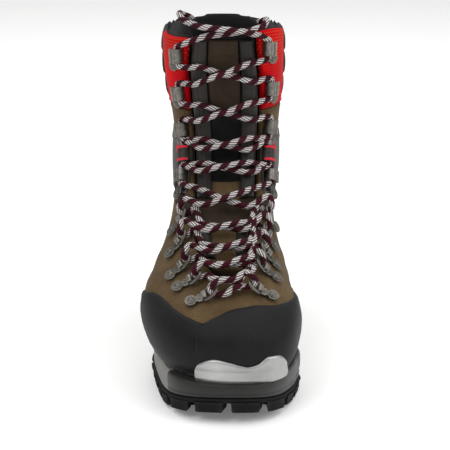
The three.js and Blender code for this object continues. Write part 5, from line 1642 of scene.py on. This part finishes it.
def stitches(name, look, rows, body, pitch=None):
    verts, edges, outward = [], [], []
    for levels, turns, offset in rows:
        levels, turns = np.broadcast_arrays(np.asarray(levels, float), np.asarray(turns, float))
        points = offLast(levels, turns, np.full(levels.shape, float(offset)))
        start = sum(len(v) for v in verts)
        verts.append(points)
        outward.append(normalAt(levels, turns))
        edges += [(start + i, start + i + 1) for i in range(len(points) - 1)]
    mesh = bpy.data.meshes.new(name)
    mesh.from_pydata([tuple(p) for p in np.concatenate(verts) * mm], edges, [])
    attribute = mesh.attributes.new("outward", "FLOAT_VECTOR", "POINT")
    attribute.data.foreach_set("vector", np.concatenate(outward).ravel())
    obj = bpy.data.objects.new(name, mesh)
    bpy.context.scene.collection.objects.link(obj)
    modifier = obj.modifiers.new("row", "NODES")
    modifier.node_group = stitchRow
    sizes = {"Pitch": (pitch or stitchDims["pitch"]) * mm, "Length": stitchDims["length"] * mm,
             "Width": stitchDims["width"] * mm, "Height": stitchDims["height"] * mm, "Thread": looks[look]}
    for item in stitchRow.interface.items_tree:
        if item.in_out == "INPUT" and item.name in sizes:
            modifier[item.identifier] = sizes[item.name]
    applyAll(obj)
    if not obj.data.materials:
        obj.data.materials.append(looks[look])
    for polygon in obj.data.polygons:
        polygon.use_smooth = True
    markEdges(obj)
    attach(obj, body)
    return obj


def makeStitches():
    span = np.linspace(0, 1, 60)
    rows = []
    for sign in (-1, 1):
        for shift in (0.016, 0.026):
            lv = mix(0.74, 0.955, span)
            rows.append((lv, sign * (throatTurn(lv) + shift), leatherOut + 0.12))
    turns = np.linspace(-0.07, 0.07, 30)
    rows.append((throatLow(np.abs(turns)) - 0.03, turns, leatherOut + 0.12))
    stitches("throatStitches", "brownThread", rows, "foot")
    rows = []
    for sign in (-1, 1):
        lv = mix(1.36, 1.53, span)
        rows.append((lv, sign * (throatTurn(lv) + 0.014), leatherOut + 0.12))
    around = np.linspace(0.19, 1.81, 260)
    rows.append((np.full(260, 1.525), around, leatherOut + 0.12))
    stitches("quarterStitches", "brownThread", rows, "shaft")
    rows = []
    for shift in (0.024, ):
        rows.append((np.full(260, shaftDims["panelTop"] - shift), around, overlayOut + 0.25))
    stitches("ankleStitches", "greyThread", rows, "shaft")
    rows = []
    for sign in (-1, 1):
        lv = mix(1.58, 1.97, span)
        rows.append((lv, sign * (throatTurn(lv) + 0.014), cuffOut + 0.45))
        turns = sign * np.linspace(0.17, 0.385, 40)
        rows.append((np.full(40, 1.566), turns, cuffOut + 0.2))
    stitches("cuffStitches", "redThread", rows, "shaft")
    rows = []
    for sign in (-1, 1):
        lv = mix(1.13, 1.97, span)
        rows.append((lv, sign * 0.66 * (throatTurn(lv) - tongueClear), overlayIn + 3.15))
    for share in (-0.34, 0.34):
        lv = mix(1.58, 1.98, span)
        rows.append((lv, share * (throatTurn(lv) - tongueClear), overlayOut + 0.05))
    stitches("tongueStitches", "darkThread", rows, "shaft")


makeStitches()
print("stitches made")

# CAD nodes that keep their shape get their finish here
for node, look in (("shank", "steel"), ("lasting_board", "fibreBoard")):
    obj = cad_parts[node]
    obj.data.materials.clear()
    obj.data.materials.append(looks[look])

# floor, light and camera
studio = {"distance": 1.1, "elevation": 14.5, "target": (0, -40, 118), "focal": 123.2, "shift": (0.0067, -0.0333)}


def makeFloor():
    mesh = bpy.data.meshes.new("floor")
    size = 6.0
    mesh.from_pydata([(-size, -size, 0), (size, -size, 0), (size, size, 0), (-size, size, 0)], [], [(0, 1, 2, 3)])
    floor = bpy.data.objects.new("floor", mesh)
    bpy.context.scene.collection.objects.link(floor)
    material = bpy.data.materials.new("floorPaint")
    material.use_nodes = True
    shader = material.node_tree.nodes["Principled BSDF"]
    shader.inputs["Base Color"].default_value = (0.93, 0.93, 0.925, 1)
    shader.inputs["Roughness"].default_value = 0.6
    shader.inputs["Emission Color"].default_value = (1, 1, 1, 1)
    shader.inputs["Emission Strength"].default_value = 0.13
    mesh.materials.append(material)


def areaLight(name, place, aim, size, power, colour=(1, 1, 1)):
    light = bpy.data.lights.new(name, "AREA")
    light.shape = "RECTANGLE"
    light.size, light.size_y = size
    light.energy = power
    light.color = colour
    obj = bpy.data.objects.new(name, light)
    bpy.context.scene.collection.objects.link(obj)
    obj.location = place
    obj.rotation_euler = (Vector(aim) - Vector(place)).to_track_quat("-Z", "Y").to_euler()


def makeCamera():
    camera = bpy.data.cameras.new("camera")
    camera.sensor_width = 36
    camera.lens = studio["focal"]
    camera.shift_x, camera.shift_y = studio["shift"]
    camera.clip_start, camera.clip_end = 0.05, 50
    obj = bpy.data.objects.new("camera", camera)
    bpy.context.scene.collection.objects.link(obj)
    aimX, aimY, aimZ = studio["target"]
    target = Vector(((aimX + originX) * mm, (aimY + originY) * mm, aimZ * mm))
    tilt = math.radians(studio["elevation"])
    obj.location = target + Vector((0, -math.cos(tilt), math.sin(tilt))) * studio["distance"]
    obj.rotation_euler = (target - obj.location).to_track_quat("-Z", "Y").to_euler()
    bpy.context.scene.camera = obj


makeFloor()
areaLight("key", (-0.9, -1.3, 1.7), (0, 0, 0.12), (1.0, 1.0), 13)
areaLight("fill", (1.4, -0.6, 1.0), (0, 0, 0.1), (1.0, 1.0), 9)
areaLight("top", (0, 0.4, 2.0), (0, 0, 0), (2.4, 2.4), 30)
bpy.context.scene.view_settings.view_transform = "Standard"
world = bpy.data.worlds.new("studio")
world.use_nodes = True
world.node_tree.nodes["Background"].inputs[0].default_value = (1, 1, 1, 1)
world.node_tree.nodes["Background"].inputs[1].default_value = 0.55
bpy.context.scene.world = world
makeCamera()
print("scene set")
